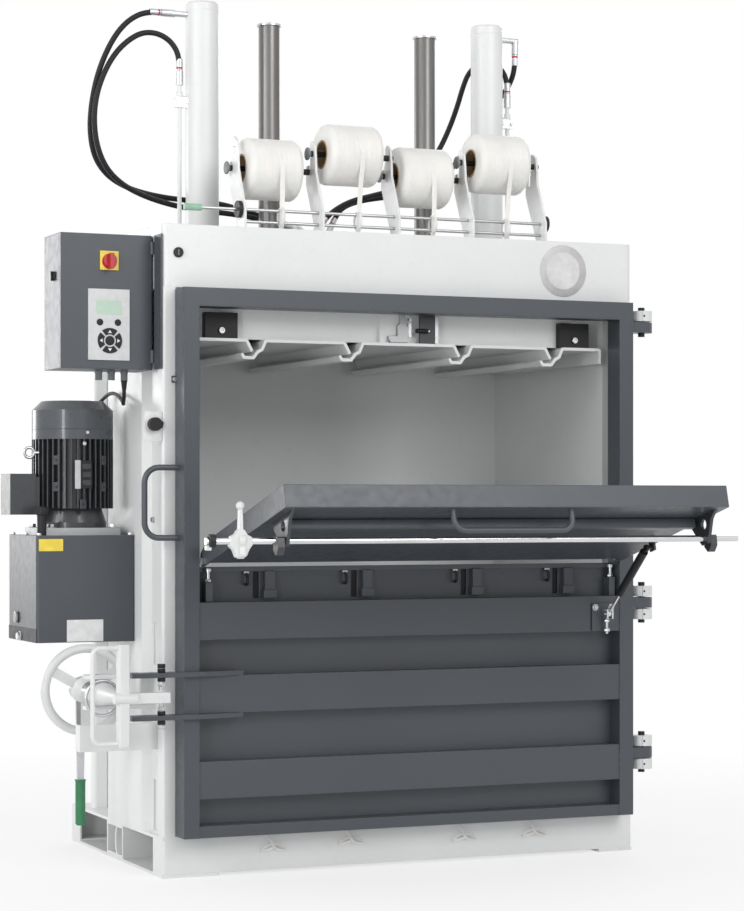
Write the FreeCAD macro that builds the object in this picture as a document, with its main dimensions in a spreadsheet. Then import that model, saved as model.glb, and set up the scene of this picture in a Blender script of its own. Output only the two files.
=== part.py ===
import FreeCAD, Part
import math
import os
import re
import Sketcher

# Upright baler for card and film: base, chamber, ram, door, loading flap, lock, power pack.
# Millimetres. The origin is on the floor under the middle of the base, X to the right, Y to the
# back and Z up. Every size is a named cell of the sheet, and every piece is bound to those cells.
V = FreeCAD.Vector
doc = FreeCAD.newDocument("upright_baler")
sizes = doc.addObject("Spreadsheet::Sheet", "sizes")

SIZES = [
    # base, carried by a pallet truck from either side
    ("base_width", 1344, "over the two ends of the base"),
    ("base_depth", 790, "front face to rear face"),
    ("sole_thick", 8, "plate under the base"),
    ("sole_left", 150, "pad at the left end"),
    ("sole_right", 100, "pad at the right end"),
    ("beam_height", 87, "height of the fork pockets"),
    ("beam_depth", 75, "front and rear beams"),
    ("beam_wall", 5, "their sheet"),
    ("centre_depth", 140, "box between the two pockets"),
    ("centre_wall", 8, "its wall"),
    ("web_radius", 62, "curved web in the centre box"),
    ("deck_thick", 8, "plate over the pockets"),
    ("floor_thick", 15, "chamber floor"),
    ("groove_width", 26, "strap grooves in the floor"),
    ("groove_depth", 9, "strap grooves in the floor"),
    # chamber
    ("chamber_width", 1200, "between the side walls"),
    ("chamber_back", 300, "face of the rear wall"),
    ("wall_thick", 6, "side and rear walls"),
    ("head_low", 1489, "top of the walls, underside of the head"),
    ("column", 40, "square section"),
    ("column_wall", 4, "section wall"),
    ("column_round", 8, "section corner"),
    ("panel_sheet", 4, "side panel sheet"),
    ("panel_front", -261, "where the bulge starts"),
    ("panel_back", 60, "where the bulge ends"),
    ("panel_slope", 33, "length of its front slope"),
    ("panel_return", 50, "length of its rear slope"),
    ("recess_depth", 17, "strip between the column and the bulge"),
    ("slot_low_height", 130, "lower window of that strip"),
    ("slot_high_low", 532, "upper window of that strip"),
    ("slot_high_height", 108, "upper window of that strip"),
    ("slot_width", 70, "both windows"),
    ("slot_inset", 12, "both windows, behind the column"),
    ("rib_height", 70, "channels across the rear wall"),
    ("rib_depth", 40, "channels across the rear wall"),
    ("rib_sheet", 5, "channels across the rear wall"),
    ("rib_pitch", 330, "channels across the rear wall"),
    ("rib_first", 300, "lowest channel"),
    # head
    ("head_height", 160, "beams of the head"),
    ("head_sheet", 6, "beam sheet"),
    ("front_beam_depth", 95, "front beam"),
    ("rear_beam_depth", 95, "rear beam"),
    ("rear_beam_back", 346, "rear face of the rear beam"),
    ("side_beam", 60, "width of the side beams"),
    ("head_round", 14, "rounded ends of the front beam"),
    ("cross_depth", 140, "girder that carries the cylinders"),
    ("cross_wall", 8, "its wall"),
    ("plug_inset", 42, "round cover in the front beam, from its left end"),
    ("plug_drop", 72, "round cover, below the top"),
    ("plug_radius", 13, "round cover"),
    ("plug_thick", 4, "round cover"),
    # ram
    ("cylinder_place", 426, "cylinder axis from the middle"),
    ("cylinder_radius", 45, "outside"),
    ("cylinder_bore", 36, "inside"),
    ("cylinder_top", 2293, "height of the caps"),
    ("cylinder_cap", 20, "cap thickness"),
    ("gland_length", 25, "rod gland"),
    ("rod_radius", 22.5, "piston rod"),
    ("running", 0.3, "running clearance"),
    ("piston_length", 30, "piston"),
    ("piston_gap", 12, "piston to cap when the ram is up"),
    ("guide_place", 233, "guide column axis from the middle"),
    ("guide_radius", 29, "guide column"),
    ("guide_top", 2254, "top of its cap"),
    ("guide_cap", 10, "cap thickness"),
    ("guide_cap_radius", 34, "cap"),
    ("bush_radius", 48, "flange of the guide bush"),
    ("bush_height", 16, "flange of the guide bush"),
    ("bush_sleeve", 40, "sleeve of the guide bush"),
    ("platen_top", 1365, "top of the platen sheets"),
    ("platen_sheet", 8, "platen sheets"),
    ("platen_half", 585, "half width of the platen"),
    ("platen_drop", 44, "depth of its folded edges"),
    ("platen_front", -383, "front edge"),
    ("platen_back", 288, "rear edge"),
    ("strap_inner", 157, "inner strap gap from the middle"),
    ("strap_outer", 428, "outer strap gap from the middle"),
    ("strap_gap", 26, "width of a strap gap"),
    ("carrier_height", 92, "box over the platen"),
    ("carrier_front", -352, "its front face"),
    ("carrier_back", 250, "its rear face"),
    ("carrier_half", 505, "its half width"),
    ("carrier_wall", 8, "its wall"),
    ("guide_block", 88, "slide block in each front corner"),
    ("guide_block_front", 8, "slide block behind the platen edge"),
    ("guide_block_height", 66, "slide block"),
    # strapping stations on the head
    ("roll_pitch", 216.5, "from arm to arm"),
    ("arm_thick", 6, "arm plate"),
    ("arm_foot_front", -352, "foot of an arm"),
    ("arm_foot_back", -304, "foot of an arm"),
    ("arm_back", -236, "rear edge at the seats"),
    ("arm_tip", 250, "height of the hook over the head"),
    ("seat_low", 168, "lower seat above the head"),
    ("seat_low_y", -255, "lower seat"),
    ("seat_high", 213, "upper seat above the head"),
    ("seat_high_y", -280, "upper seat"),
    ("spindle_radius", 8, "roll spindle"),
    ("knob_radius", 17, "knob at the spindle end"),
    ("roll_radius", 80, "strap roll"),
    ("roll_width", 172, "strap roll"),
    ("core_radius", 38, "inside of the winding"),
    ("core_thick", 4, "card core"),
    ("hub_thick", 12, "hubs on the spindle"),
    ("rail_y", -325, "strap rails through the arm feet"),
    ("rail_radius", 4, "strap rails"),
    ("rail_high", 53, "upper rail above the head"),
    ("rail_low", 22, "lower rail above the head"),
    ("rail_reach", 108, "upper rail past the left arm"),
    ("rail_wheel", 22, "wheels on the upper rail"),
    ("rail_wheel_thick", 10, "wheels on the upper rail"),
    ("rail_grip_length", 46, "grip on the upper rail"),
    ("rail_grip", 9, "grip radius"),
    ("strap_ring", 23.5, "ring round the two rails"),
    ("strap_ring_wire", 3, "its wire radius"),
    # front door
    ("door_width", 1277, "over the stiles"),
    ("door_low", 106, "underside"),
    ("door_top", 1485, "top edge"),
    ("door_depth", 67, "stile depth"),
    ("door_gap", 3, "door to frame"),
    ("stile", 41, "stile width"),
    ("door_sheet", 4, "wall of stiles and beams"),
    ("top_rail", 47, "height"),
    ("bottom_rail", 29, "height"),
    ("door_beam", 94, "height of the three beams"),
    ("beam_one", 602, "upper beam"),
    ("beam_two", 418, "middle beam"),
    ("beam_three", 203, "lower beam"),
    ("beam_inset", 3, "beams behind the stile faces"),
    ("skin_y", -414, "front of the door skin"),
    ("skin_thick", 5, "door skin"),
    ("skin_below", 16, "top of the skin, below the flap pins"),
    ("sill_height", 12, "bar along the top of the skin"),
    ("sill_depth", 12, "bar along the top of the skin"),
    ("strap_slot", 16, "strap slots in the door skin"),
    ("strap_slot_low", 703, "foot of the strap slots"),
    ("strap_slot_high", 772, "top of the strap slots"),
    ("strap_tab", 26, "channel beside each slot"),
    ("strap_tab_depth", 18, "channel beside each slot"),
    ("strap_tab_shift", 32, "from the slot to its channel"),
    ("pull_reach", 92, "side pull handle"),
    ("pull_low", 858, "side pull handle"),
    ("pull_high", 1034, "side pull handle"),
    ("pull_radius", 7.5, "side pull handle"),
    ("pull_bend", 38, "side pull handle"),
    ("hinge_x", 683, "door hinge axis"),
    ("hinge_y", -430, "door hinge axis"),
    ("hinge_round", 29, "knuckle radius"),
    ("knuckle", 28, "knuckle height"),
    ("knuckle_gap", 3, "between knuckles"),
    ("pin_radius", 9, "hinge pin"),
    ("pin_proud", 10, "pin past the knuckles"),
    ("hinge_top", 1406, "top hinge, underside"),
    ("hinge_middle", 631, "middle hinge, underside"),
    ("hinge_low", 226, "bottom hinge, underside"),
    # loading flap, drawn closed and then swung down about its pins
    ("flap_axis_z", 800, "height of the flap pins"),
    ("flap_open", 75.3, "angle from closed"),
    ("flap_side_gap", 7.5, "flap to each stile"),
    ("flap_foot", 38, "lower edge from the pins"),
    ("flap_reach", 586, "upper edge from the pins"),
    ("flap_front", -14, "outer face"),
    ("flap_back", 41, "inner edge"),
    ("flap_sheet", 4, "flap sheet"),
    ("flap_side", 6, "side plates"),
    ("flap_band", 46, "box along the upper edge"),
    ("flap_rib", 34, "ribs across the inside"),
    ("flap_rib_depth", 26, "ribs across the inside"),
    ("flap_rib_one", 165, "first rib from the pins"),
    ("flap_rib_two", 360, "second rib from the pins"),
    ("flap_pin", 8, "pin radius"),
    ("flap_grip_half", 158, "grab bar under the upper edge"),
    ("flap_grip_drop", 52, "grab bar"),
    ("flap_grip_radius", 7, "grab bar"),
    ("flap_grip_inset", 20, "grab bar below the upper edge"),
    ("flap_grip_bend", 30, "grab bar"),
    ("latch_inset", 88, "latch bar below the upper edge"),
    ("latch_drop", 72, "latch bar outside the pins"),
    ("latch_radius", 8, "latch bar"),
    ("latch_left", 170, "bar past the left side of the flap"),
    ("latch_right", 65, "bar past the right side of the flap"),
    ("bracket_inset", 30, "latch brackets from the flap sides"),
    ("bracket_thick", 8, "latch brackets"),
    ("cam_thick", 18, "cams on the latch bar"),
    ("lever_side", 78, "cast lever past the left side of the flap"),
    ("lever_thick", 14, "cast lever"),
    ("lever_hub", 19, "cast lever"),
    ("lever_length", 82, "cast lever"),
    ("lever_ball", 10, "ball on its end"),
    # gas strut
    ("strut_inset", 42, "strut from the right side of the flap"),
    ("strut_foot_y", -492, "lower pivot"),
    ("strut_foot_z", 650, "lower pivot"),
    ("strut_reach", 230, "upper pivot from the flap pins"),
    ("strut_drop", 31, "upper pivot outside the flap pins"),
    ("strut_radius", 11, "cylinder"),
    ("strut_rod", 4, "rod"),
    ("strut_eye", 9, "eye radius"),
    ("strut_eye_thick", 8, "eye"),
    ("strut_pin", 4, "pivot pin"),
    ("strut_neck", 5, "neck under the upper eye"),
    ("strut_neck_length", 6, "neck under the upper eye"),
    ("strut_end_room", 15, "bore past the end of the rod"),
    ("strut_lap", 2, "rod and neck run this far into their ends"),
    ("strut_cylinder", 172, "cylinder length"),
    ("strut_inside", 130, "rod inside the cylinder when the flap is down"),
    # door lock on the left
    ("lock_x", -808, "spindle axis"),
    ("lock_z", 465, "spindle axis"),
    ("lock_pivot_y", -262, "upright pivot"),
    ("lock_bar_front", -513, "clamp bar"),
    ("lock_bar_depth", 26, "clamp bar"),
    ("lock_bar_width", 29, "clamp bar"),
    ("lock_bar_low", 346, "clamp bar"),
    ("lock_bar_high", 598, "clamp bar"),
    ("lock_loop", 78, "grab loop to the left of the bar"),
    ("lock_loop_radius", 6, "grab loop"),
    ("lock_tongue", 103, "tongue to the right of the bar"),
    ("lock_tongue_height", 26, "tongue"),
    ("spindle_lock", 13, "screw spindle radius"),
    ("nut_radius", 26, "nut on the upright pivot"),
    ("nut_length", 62, "nut on the upright pivot"),
    ("wheel_y", -178, "hand wheel"),
    ("wheel_radius", 109, "rim centre line"),
    ("wheel_rim", 9, "rim section"),
    ("wheel_hub", 34, "hub radius"),
    ("wheel_hub_length", 44, "hub"),
    ("ratchet_y", -140, "ratchet lever"),
    ("ratchet_thick", 8, "ratchet lever"),
    ("ratchet_hub", 30, "ratchet lever"),
    ("ratchet_width", 26, "ratchet lever"),
    ("ratchet_length", 235, "to the start of the grip"),
    ("grip_length", 118, "green grip"),
    ("grip_radius", 13, "green grip"),
    ("carrier_plate", 10, "lock bracket plates"),
    ("carrier_plate_gap", 68, "between the bracket plates"),
    ("lock_plate_thick", 12, "hook plates on the door"),
    ("lock_plate_tip", -779, "tip of the hook plates"),
    ("lock_plate_root", -480, "root of the hook plates"),
    ("lock_plate_front", -483, "front edge of the hook plates"),
    ("lock_plate_back", -442, "rear edge of the hook plates"),
    ("lock_bolt_x", -700, "adjusting bolts"),
    ("lock_bolt", 6, "adjusting bolts"),
    # control cabinet
    ("cabinet_left", -917, "left side"),
    ("cabinet_front", -328, "front of its door"),
    ("cabinet_back", -183, "rear face"),
    ("cabinet_low", 1283, "underside"),
    ("cabinet_top", 1623, "top"),
    ("cabinet_sheet", 2, "sheet"),
    ("cabinet_leaf", 12.7, "depth of its door"),
    ("cabinet_hinge_x", -678, "hinge axis"),
    ("cabinet_hinge_y", -334, "hinge axis"),
    ("cabinet_hinge_low", 1300, "lower hinge"),
    ("cabinet_hinge_high", 1575, "upper hinge"),
    ("switch_x", -791, "main switch"),
    ("switch_z", 1556, "main switch"),
    ("switch_plate", 48, "yellow plate"),
    ("knob_disc", 17, "red knob"),
    ("keypad_left", -846, "key panel"),
    ("keypad_right", -738, "key panel"),
    ("keypad_low", 1305, "key panel"),
    ("keypad_high", 1484, "key panel"),
    # hydraulic power pack
    ("tank_left", -935, "oil tank"),
    ("tank_front", -173, "oil tank"),
    ("tank_back", 97, "oil tank"),
    ("tank_low", 587, "oil tank"),
    ("tank_top", 862, "oil tank"),
    ("tank_sheet", 3, "oil tank"),
    ("tank_round", 8, "oil tank"),
    ("tank_apron", 46, "skirt below the tank floor"),
    ("motor_x", -800, "motor axis"),
    ("motor_y", -38, "motor axis"),
    ("motor_radius", 106, "over the fins"),
    ("motor_barrel", 88, "barrel under the fins"),
    ("motor_bore", 78, "inside of the barrel"),
    ("motor_fins", 40, "number of fins"),
    ("fin_thick", 4, "fin"),
    ("flange_thick", 19, "pump flange"),
    ("flange_half", 100, "pump flange"),
    ("bell_height", 50, "end bell over the flange"),
    ("barrel_height", 180, "finned barrel"),
    ("cover_height", 100, "fan cover"),
    ("cover_sheet", 2, "fan cover"),
    ("cover_slope", 24, "chamfer of the fan cover"),
    ("fan_radius", 84, "fan"),
    ("fan_blades", 7, "number of blades"),
    ("box_left", -980, "terminal box"),
    ("box_low", 915, "terminal box"),
    ("box_high", 1021, "terminal box"),
    ("box_half", 46, "terminal box, half its width"),
    # oil lines
    ("pipe_offset", 65, "pipe axis from the cylinder axis"),
    ("pipe_radius", 6, "steel pipe"),
    ("tee_height", 2034, "tee on each pipe"),
    ("port_drop", 34, "upper ports below the cylinder caps"),
    ("ferrule_radius", 10, "hose ferrule"),
    ("ferrule_length", 38, "hose ferrule"),
    ("ferrule_high", 2068, "lower ferrules start here"),
    ("hose_radius", 7.5, "oil hose"),
    ("manifold_left", -170, "hose block on the girder"),
    ("manifold_right", -30, "hose block on the girder"),
    ("manifold_height", 28, "hose block on the girder"),
    ("manifold_y", 35, "hose block on the girder"),
    ("fitting_leg", 26, "slanted leg of a hose fitting"),
    ("fitting_radius", 9, "hose fitting"),
    ("port_reach", 44, "upper port past the cylinder"),
    ("cable_radius", 5, "motor cable"),
    # safety switch plate on the left column
    ("sensor_low", 1100, "plate"),
    ("sensor_high", 1175, "plate"),
    ("sensor_left", -718, "plate"),
    ("sensor_knob", 17, "knob radius"),
]

for row, (alias, value, meaning) in enumerate(SIZES, start=1):
    sizes.set(f"A{row}", str(value))
    sizes.setAlias(f"A{row}", alias)
    sizes.set(f"B{row}", meaning)
doc.recompute()

ALIASES = {alias for alias, value, meaning in SIZES}
WORD = re.compile(r"[a-z_]+")
NODES = []
TURN = {
    "X": FreeCAD.Rotation(V(0, 1, 0), 90),
    "Y": FreeCAD.Rotation(V(1, 0, 0), -90),
    "Z": FreeCAD.Rotation(),
}

# places that many pieces share, as formulas of the sheet
HALF = "(base_width / 2)"
FRONT = "(-base_depth / 2)"
DECK = "(sole_thick + beam_height + deck_thick)"
FLOOR = f"({DECK} + floor_thick)"
HEAD_TOP = "(head_low + head_height)"
WALL_IN = "(chamber_width / 2)"
WALL_OUT = "(chamber_width / 2 + wall_thick)"
DOOR_BACK = f"({FRONT} - door_gap)"
DOOR_FRONT = f"({FRONT} - door_gap - door_depth)"
DOOR_HALF = "(door_width / 2)"
DOOR_IN = "(door_width / 2 - stile)"
CARRIER_TOP = "(platen_top + carrier_height)"
FLAP_HALF = f"({DOOR_IN} - flap_side_gap)"
LATCH_REACH = "(flap_reach - latch_inset)"
BRACKET_X = f"({FLAP_HALF} - bracket_inset)"
LEVER_X = f"({FLAP_HALF} + lever_side)"
STRUT_X = f"({FLAP_HALF} - strut_inset)"
PORT_HEIGHT = "(cylinder_top - port_drop)"
LATCH_Y = f"({DOOR_FRONT} - latch_drop * cos(flap_open) - {LATCH_REACH} * sin(flap_open))"
LATCH_Z = f"(flap_axis_z - latch_drop * sin(flap_open) + {LATCH_REACH} * cos(flap_open))"
STRUT_TOP_Y = f"({DOOR_FRONT} - strut_drop * cos(flap_open) - strut_reach * sin(flap_open))"
STRUT_TOP_Z = "(flap_axis_z - strut_drop * sin(flap_open) + strut_reach * cos(flap_open))"


def formula(text):
    """The same formula with each alias read from the sheet."""
    return WORD.sub(lambda word: "sizes." + word[0] if word[0] in ALIASES else word[0], str(text))


def bind(item, **formulas):
    """Ties the properties of an object to formulas of the sheet."""
    places = {"x": "Placement.Base.x", "y": "Placement.Base.y", "z": "Placement.Base.z"}
    for key, text in formulas.items():
        item.setExpression(places.get(key, key), formula(text))
    return item


ruler = doc.addObject("Part::Vertex", "ruler")


def place(x, y, z):
    """The point that three formulas give."""
    bind(ruler, X=x, Y=y, Z=z)
    ruler.recompute()
    return V(ruler.X.Value, ruler.Y.Value, ruler.Z.Value)


def length(text):
    """The number that one formula gives."""
    return place(text, "0", "0").x


def box(name, x, y, z):
    """A square block between two ends along each axis."""
    item = doc.addObject("Part::Box", name)
    return bind(item, Length=f"{x[1]} - ({x[0]})", Width=f"{y[1]} - ({y[0]})",
                Height=f"{z[1]} - ({z[0]})", x=x[0], y=y[0], z=z[0])


def cylinder(name, axis, x, y, z, radius):
    """A round bar along one axis: the span along that axis, two plain places across it."""
    item = doc.addObject("Part::Cylinder", name)
    item.Placement.Rotation = TURN[axis]
    places = {"X": x, "Y": y, "Z": z}
    low, high = places[axis]
    places[axis] = low
    return bind(item, Radius=radius, Height=f"{high} - ({low})",
                x=places["X"], y=places["Y"], z=places["Z"])


def fuse(name, *items):
    """Pieces welded or moulded in one."""
    item = doc.addObject("Part::MultiFuse", name)
    item.Shapes = list(items)
    item.Refine = True
    return item


def cut(name, base, *tools):
    """A piece with everything that is cut out of it."""
    item = doc.addObject("Part::Cut", name)
    item.Base = base
    item.Tool = tools[0] if len(tools) == 1 else fuse(name + "_cuts", *tools)
    item.Refine = True
    return item


def common(name, first, second):
    """What two solids share."""
    item = doc.addObject("Part::Common", name)
    item.Base = first
    item.Tool = second
    return item


def group(name, *items):
    """Like pieces that stay separate solids of one node."""
    item = doc.addObject("Part::Compound", name)
    item.Links = list(items)
    return item


def outline(sketch, points, closed=True):
    """Lines through points, each tied to the sheet in both directions."""
    values = [place(first, second, "0") for first, second in points]
    count = len(points)
    lines = count if closed else count - 1
    sketch.addGeometry([Part.LineSegment(values[i], values[(i + 1) % count]) for i in range(lines)])
    for i in range(count):
        line, end = (i, 1) if i < lines else (i - 1, 2)
        if end == 1 and (closed or i > 0):
            sketch.addConstraint(Sketcher.Constraint("Coincident", (i - 1) % lines, 2, i, 1))
        for kind, value, text in (("DistanceX", values[i].x, points[i][0]),
                                  ("DistanceY", values[i].y, points[i][1])):
            number = sketch.addConstraint(Sketcher.Constraint(kind, -1, 1, line, end, value))
            sketch.setExpression(f"Constraints[{number}]", formula(text))
    return values


PLANES = {"XY": "Z", "XZ": "Y", "YZ": "X"}


def profile(name, plane, points, span, corners=(), radius="0"):
    """An outline padded between two ends, with chosen corners rounded."""
    body = doc.addObject("PartDesign::Body", name)
    origin = [item for item in body.Origin.OriginFeatures if item.Role == plane + "_Plane"][0]
    sketch = body.newObject("Sketcher::SketchObject", name + "_outline")
    sketch.AttachmentSupport = [(origin, "")]
    sketch.MapMode = "FlatFace"
    values = outline(sketch, points)
    pad = body.newObject("PartDesign::Pad", name + "_pad")
    pad.Profile = sketch
    bind(pad, Length=f"{span[1]} - ({span[0]})")
    # the pad of an XZ outline grows towards -Y, so it starts from the far end
    start = span[1] if plane == "XZ" else span[0]
    bind(body, **{PLANES[plane].lower(): start})
    if corners:
        sketch.recompute()
        pad.recompute()
        fillet = body.newObject("PartDesign::Fillet", name + "_fillet")
        fillet.Base = (pad, corner_edges(pad.Shape, plane, [values[i] for i in corners]))
        bind(fillet, Radius=radius)
    return body


def corner_edges(shape, plane, corners):
    """Names of the edges that run square to the outline through its given corners."""
    flat = {"XY": lambda p: (p.x, p.y), "XZ": lambda p: (p.x, p.z), "YZ": lambda p: (p.y, p.z)}[plane]
    names = []
    for number, edge in enumerate(shape.Edges, start=1):
        ends = [flat(vertex.Point) for vertex in edge.Vertexes]
        for corner in corners:
            if all(math.dist(end, (corner.x, corner.y)) < 0.001 for end in ends):
                names.append(f"Edge{number}")
    return names


def turned(name, axis, points, at):
    """A turned piece: radius and height pairs, spun about its axis."""
    body = doc.addObject("PartDesign::Body", name)
    origin = [item for item in body.Origin.OriginFeatures if item.Role == "XZ_Plane"][0]
    sketch = body.newObject("Sketcher::SketchObject", name + "_section")
    sketch.AttachmentSupport = [(origin, "")]
    sketch.MapMode = "FlatFace"
    outline(sketch, points)
    spin = body.newObject("PartDesign::Revolution", name + "_turn")
    spin.Profile = sketch
    spin.ReferenceAxis = (sketch, ["V_Axis"])
    spin.Angle = 360
    body.Placement.Rotation = TURN[axis]
    return bind(body, x=at[0], y=at[1], z=at[2])


def folded(name, plane, points, sheet, span):
    """A folded sheet: its line of folds, thickened to one side and run between two ends."""
    sketch = doc.addObject("Sketcher::SketchObject", name + "_folds")
    turn = {"XY": FreeCAD.Rotation(), "XZ": FreeCAD.Rotation(V(1, 0, 0), 90),
            "YZ": FreeCAD.Rotation(V(1, 1, 1), 120)}[plane]
    sketch.Placement = FreeCAD.Placement(V(), turn)
    outline(sketch, points, closed=False)
    section = doc.addObject("Part::Offset2D", name + "_section")
    section.Source = sketch
    section.Fill = True
    section.Mode = "Skin"
    section.Join = "Arc"
    bind(section, Value=sheet)
    item = doc.addObject("Part::Extrusion", name)
    item.Base = section
    item.DirMode = "Custom"
    item.Dir = {"XY": V(0, 0, 1), "XZ": V(0, 1, 0), "YZ": V(1, 0, 0)}[plane]
    item.Solid = True
    bind(item, LengthFwd=f"{span[1]} - ({span[0]})")
    return bind(item, **{PLANES[plane].lower(): span[0]})


def route(points, radii):
    """Straight runs joined by tangent arcs, one radius for each inner point."""
    edges = []
    start = points[0]
    for before, corner, after, radius in zip(points, points[1:], points[2:], radii):
        back = (before - corner).normalize()
        ahead = (after - corner).normalize()
        half = (math.pi - back.getAngle(ahead)) / 2
        reach = radius * math.tan(half)
        first, last = corner + back * reach, corner + ahead * reach
        middle = corner + (back + ahead).normalize() * (radius / math.cos(half) - radius)
        edges.append(Part.LineSegment(start, first).toShape())
        edges.append(Part.Arc(first, middle, last).toShape())
        start = last
    edges.append(Part.LineSegment(start, points[-1]).toShape())
    return Part.Wire(edges)


def tube(name, points, radius, radii):
    """A round bar or hose along a route, as one sweep of its section."""
    path = route(points, radii)
    ahead = (points[1] - points[0]).normalize()
    ring = Part.Wire([Part.Circle(points[0], ahead, radius).toShape()])
    shape = path.makePipeShell([ring], True, False)
    wanted = math.pi * radius ** 2 * path.Length
    if abs(shape.Volume / wanted - 1) > 0.01:
        raise RuntimeError(f"{name}: swept {shape.Volume:.0f}, wanted {wanted:.0f}")
    item = doc.addObject("Part::Feature", name)
    item.Shape = shape
    return item


def bent_bar(name, points, radius, bend):
    """A bar with the same bend at every corner."""
    radius, bend = length(radius), length(bend)
    return tube(name, points, radius, [bend] * (len(points) - 2))


def hose(name, points, radius):
    """A hose whose bends are as wide as its runs allow."""
    points = [V(*point) for point in points]
    radii = []
    for before, corner, after in zip(points, points[1:], points[2:]):
        half = (math.pi - (before - corner).getAngle(after - corner)) / 2
        shorter = min((before - corner).Length, (after - corner).Length)
        radii.append(0.45 * shorter / math.tan(half))
    print(name, "bends", [round(value) for value in radii])
    return tube(name, points, length(radius), radii)


def node(item):
    """Makes an object a sub-part of its own."""
    item.Label = item.Name
    NODES.append(item)
    return item


def mirrored_x(points):
    """The same outline on the other side of the middle."""
    return [(f"-({x})", y) for x, y in points]


def base():
    """Sole, fork pockets between two beams and a centre box, deck and chamber floor."""
    left, right = f"-{HALF}", HALF
    back = "base_depth / 2"
    plate = box("sole_plate", (left, right), (FRONT, back), ("0", "sole_thick"))
    inner = (f"{left} + sole_left", f"{right} - sole_right")
    node(cut("base_sole", plate,
             box("sole_front_gap", inner, (f"{FRONT} - 1", "-centre_depth / 2"), ("-1", "sole_thick + 1")),
             box("sole_rear_gap", inner, ("centre_depth / 2", f"{back} + 1"), ("-1", "sole_thick + 1"))))
    beam_z = ("sole_thick", "sole_thick + beam_height")
    room_x = (f"{left} + beam_wall", f"{right} - beam_wall")
    room_z = (f"{beam_z[0]} + beam_wall", f"{beam_z[1]} - beam_wall")
    front = profile("front_beam_block", "XY",
                    [(left, FRONT), (right, FRONT), (right, f"{FRONT} + beam_depth"),
                     (left, f"{FRONT} + beam_depth")], beam_z, (0, 1), "column_round")
    front = cut("base_front_beam", front,
                box("front_beam_room", room_x, (f"{FRONT} + beam_wall", f"{FRONT} + beam_depth + 1"),
                    room_z))
    rear = box("rear_beam_block", (left, right), (f"{back} - beam_depth", back), beam_z)
    rear = cut("base_rear_beam", rear,
               box("rear_beam_room", room_x, (f"{back} - beam_depth - 1", f"{back} - beam_wall"), room_z))
    node(group("base_beams", front, rear))
    centre = box("centre_block", (left, right), ("-centre_depth / 2", "centre_depth / 2"), beam_z)
    inside = ("-centre_depth / 2 + centre_wall", "centre_depth / 2 - centre_wall")
    inside_z = (f"{beam_z[0]} + centre_wall", f"{beam_z[1]} - centre_wall")
    room = box("centre_room", (f"{left} - 1", f"{right} + 1"), inside, inside_z)
    web_z = "sole_thick + beam_height / 2"
    web = cut("centre_web_tube",
              cylinder("web_outer", "X", (left, right), "-web_radius", web_z, "web_radius"),
              cylinder("web_inner", "X", (f"{left} - 1", f"{right} + 1"), "-web_radius", web_z,
                       "web_radius - centre_wall"))
    half_web = common("centre_web", web, box("web_room", (left, right), ("-web_radius", inside[1]),
                                             inside_z))
    node(fuse("base_centre_box", cut("centre_shell", centre, room), half_web))
    node(box("base_deck", (left, right), (FRONT, back), ("sole_thick + beam_height", DECK)))
    slab = box("floor_slab", (f"-{WALL_IN}", WALL_IN), (FRONT, "chamber_back"), (DECK, FLOOR))
    grooves = [box(f"floor_groove_{number}", (f"{middle} - groove_width / 2",
                                              f"{middle} + groove_width / 2"),
                   (f"{FRONT} - 1", "chamber_back + 1"), (f"{FLOOR} - groove_depth", f"{FLOOR} + 1"))
               for number, middle in enumerate(("-strap_outer", "-strap_inner", "strap_inner",
                                                "strap_outer"))]
    node(cut("chamber_floor", slab, *grooves))


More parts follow.
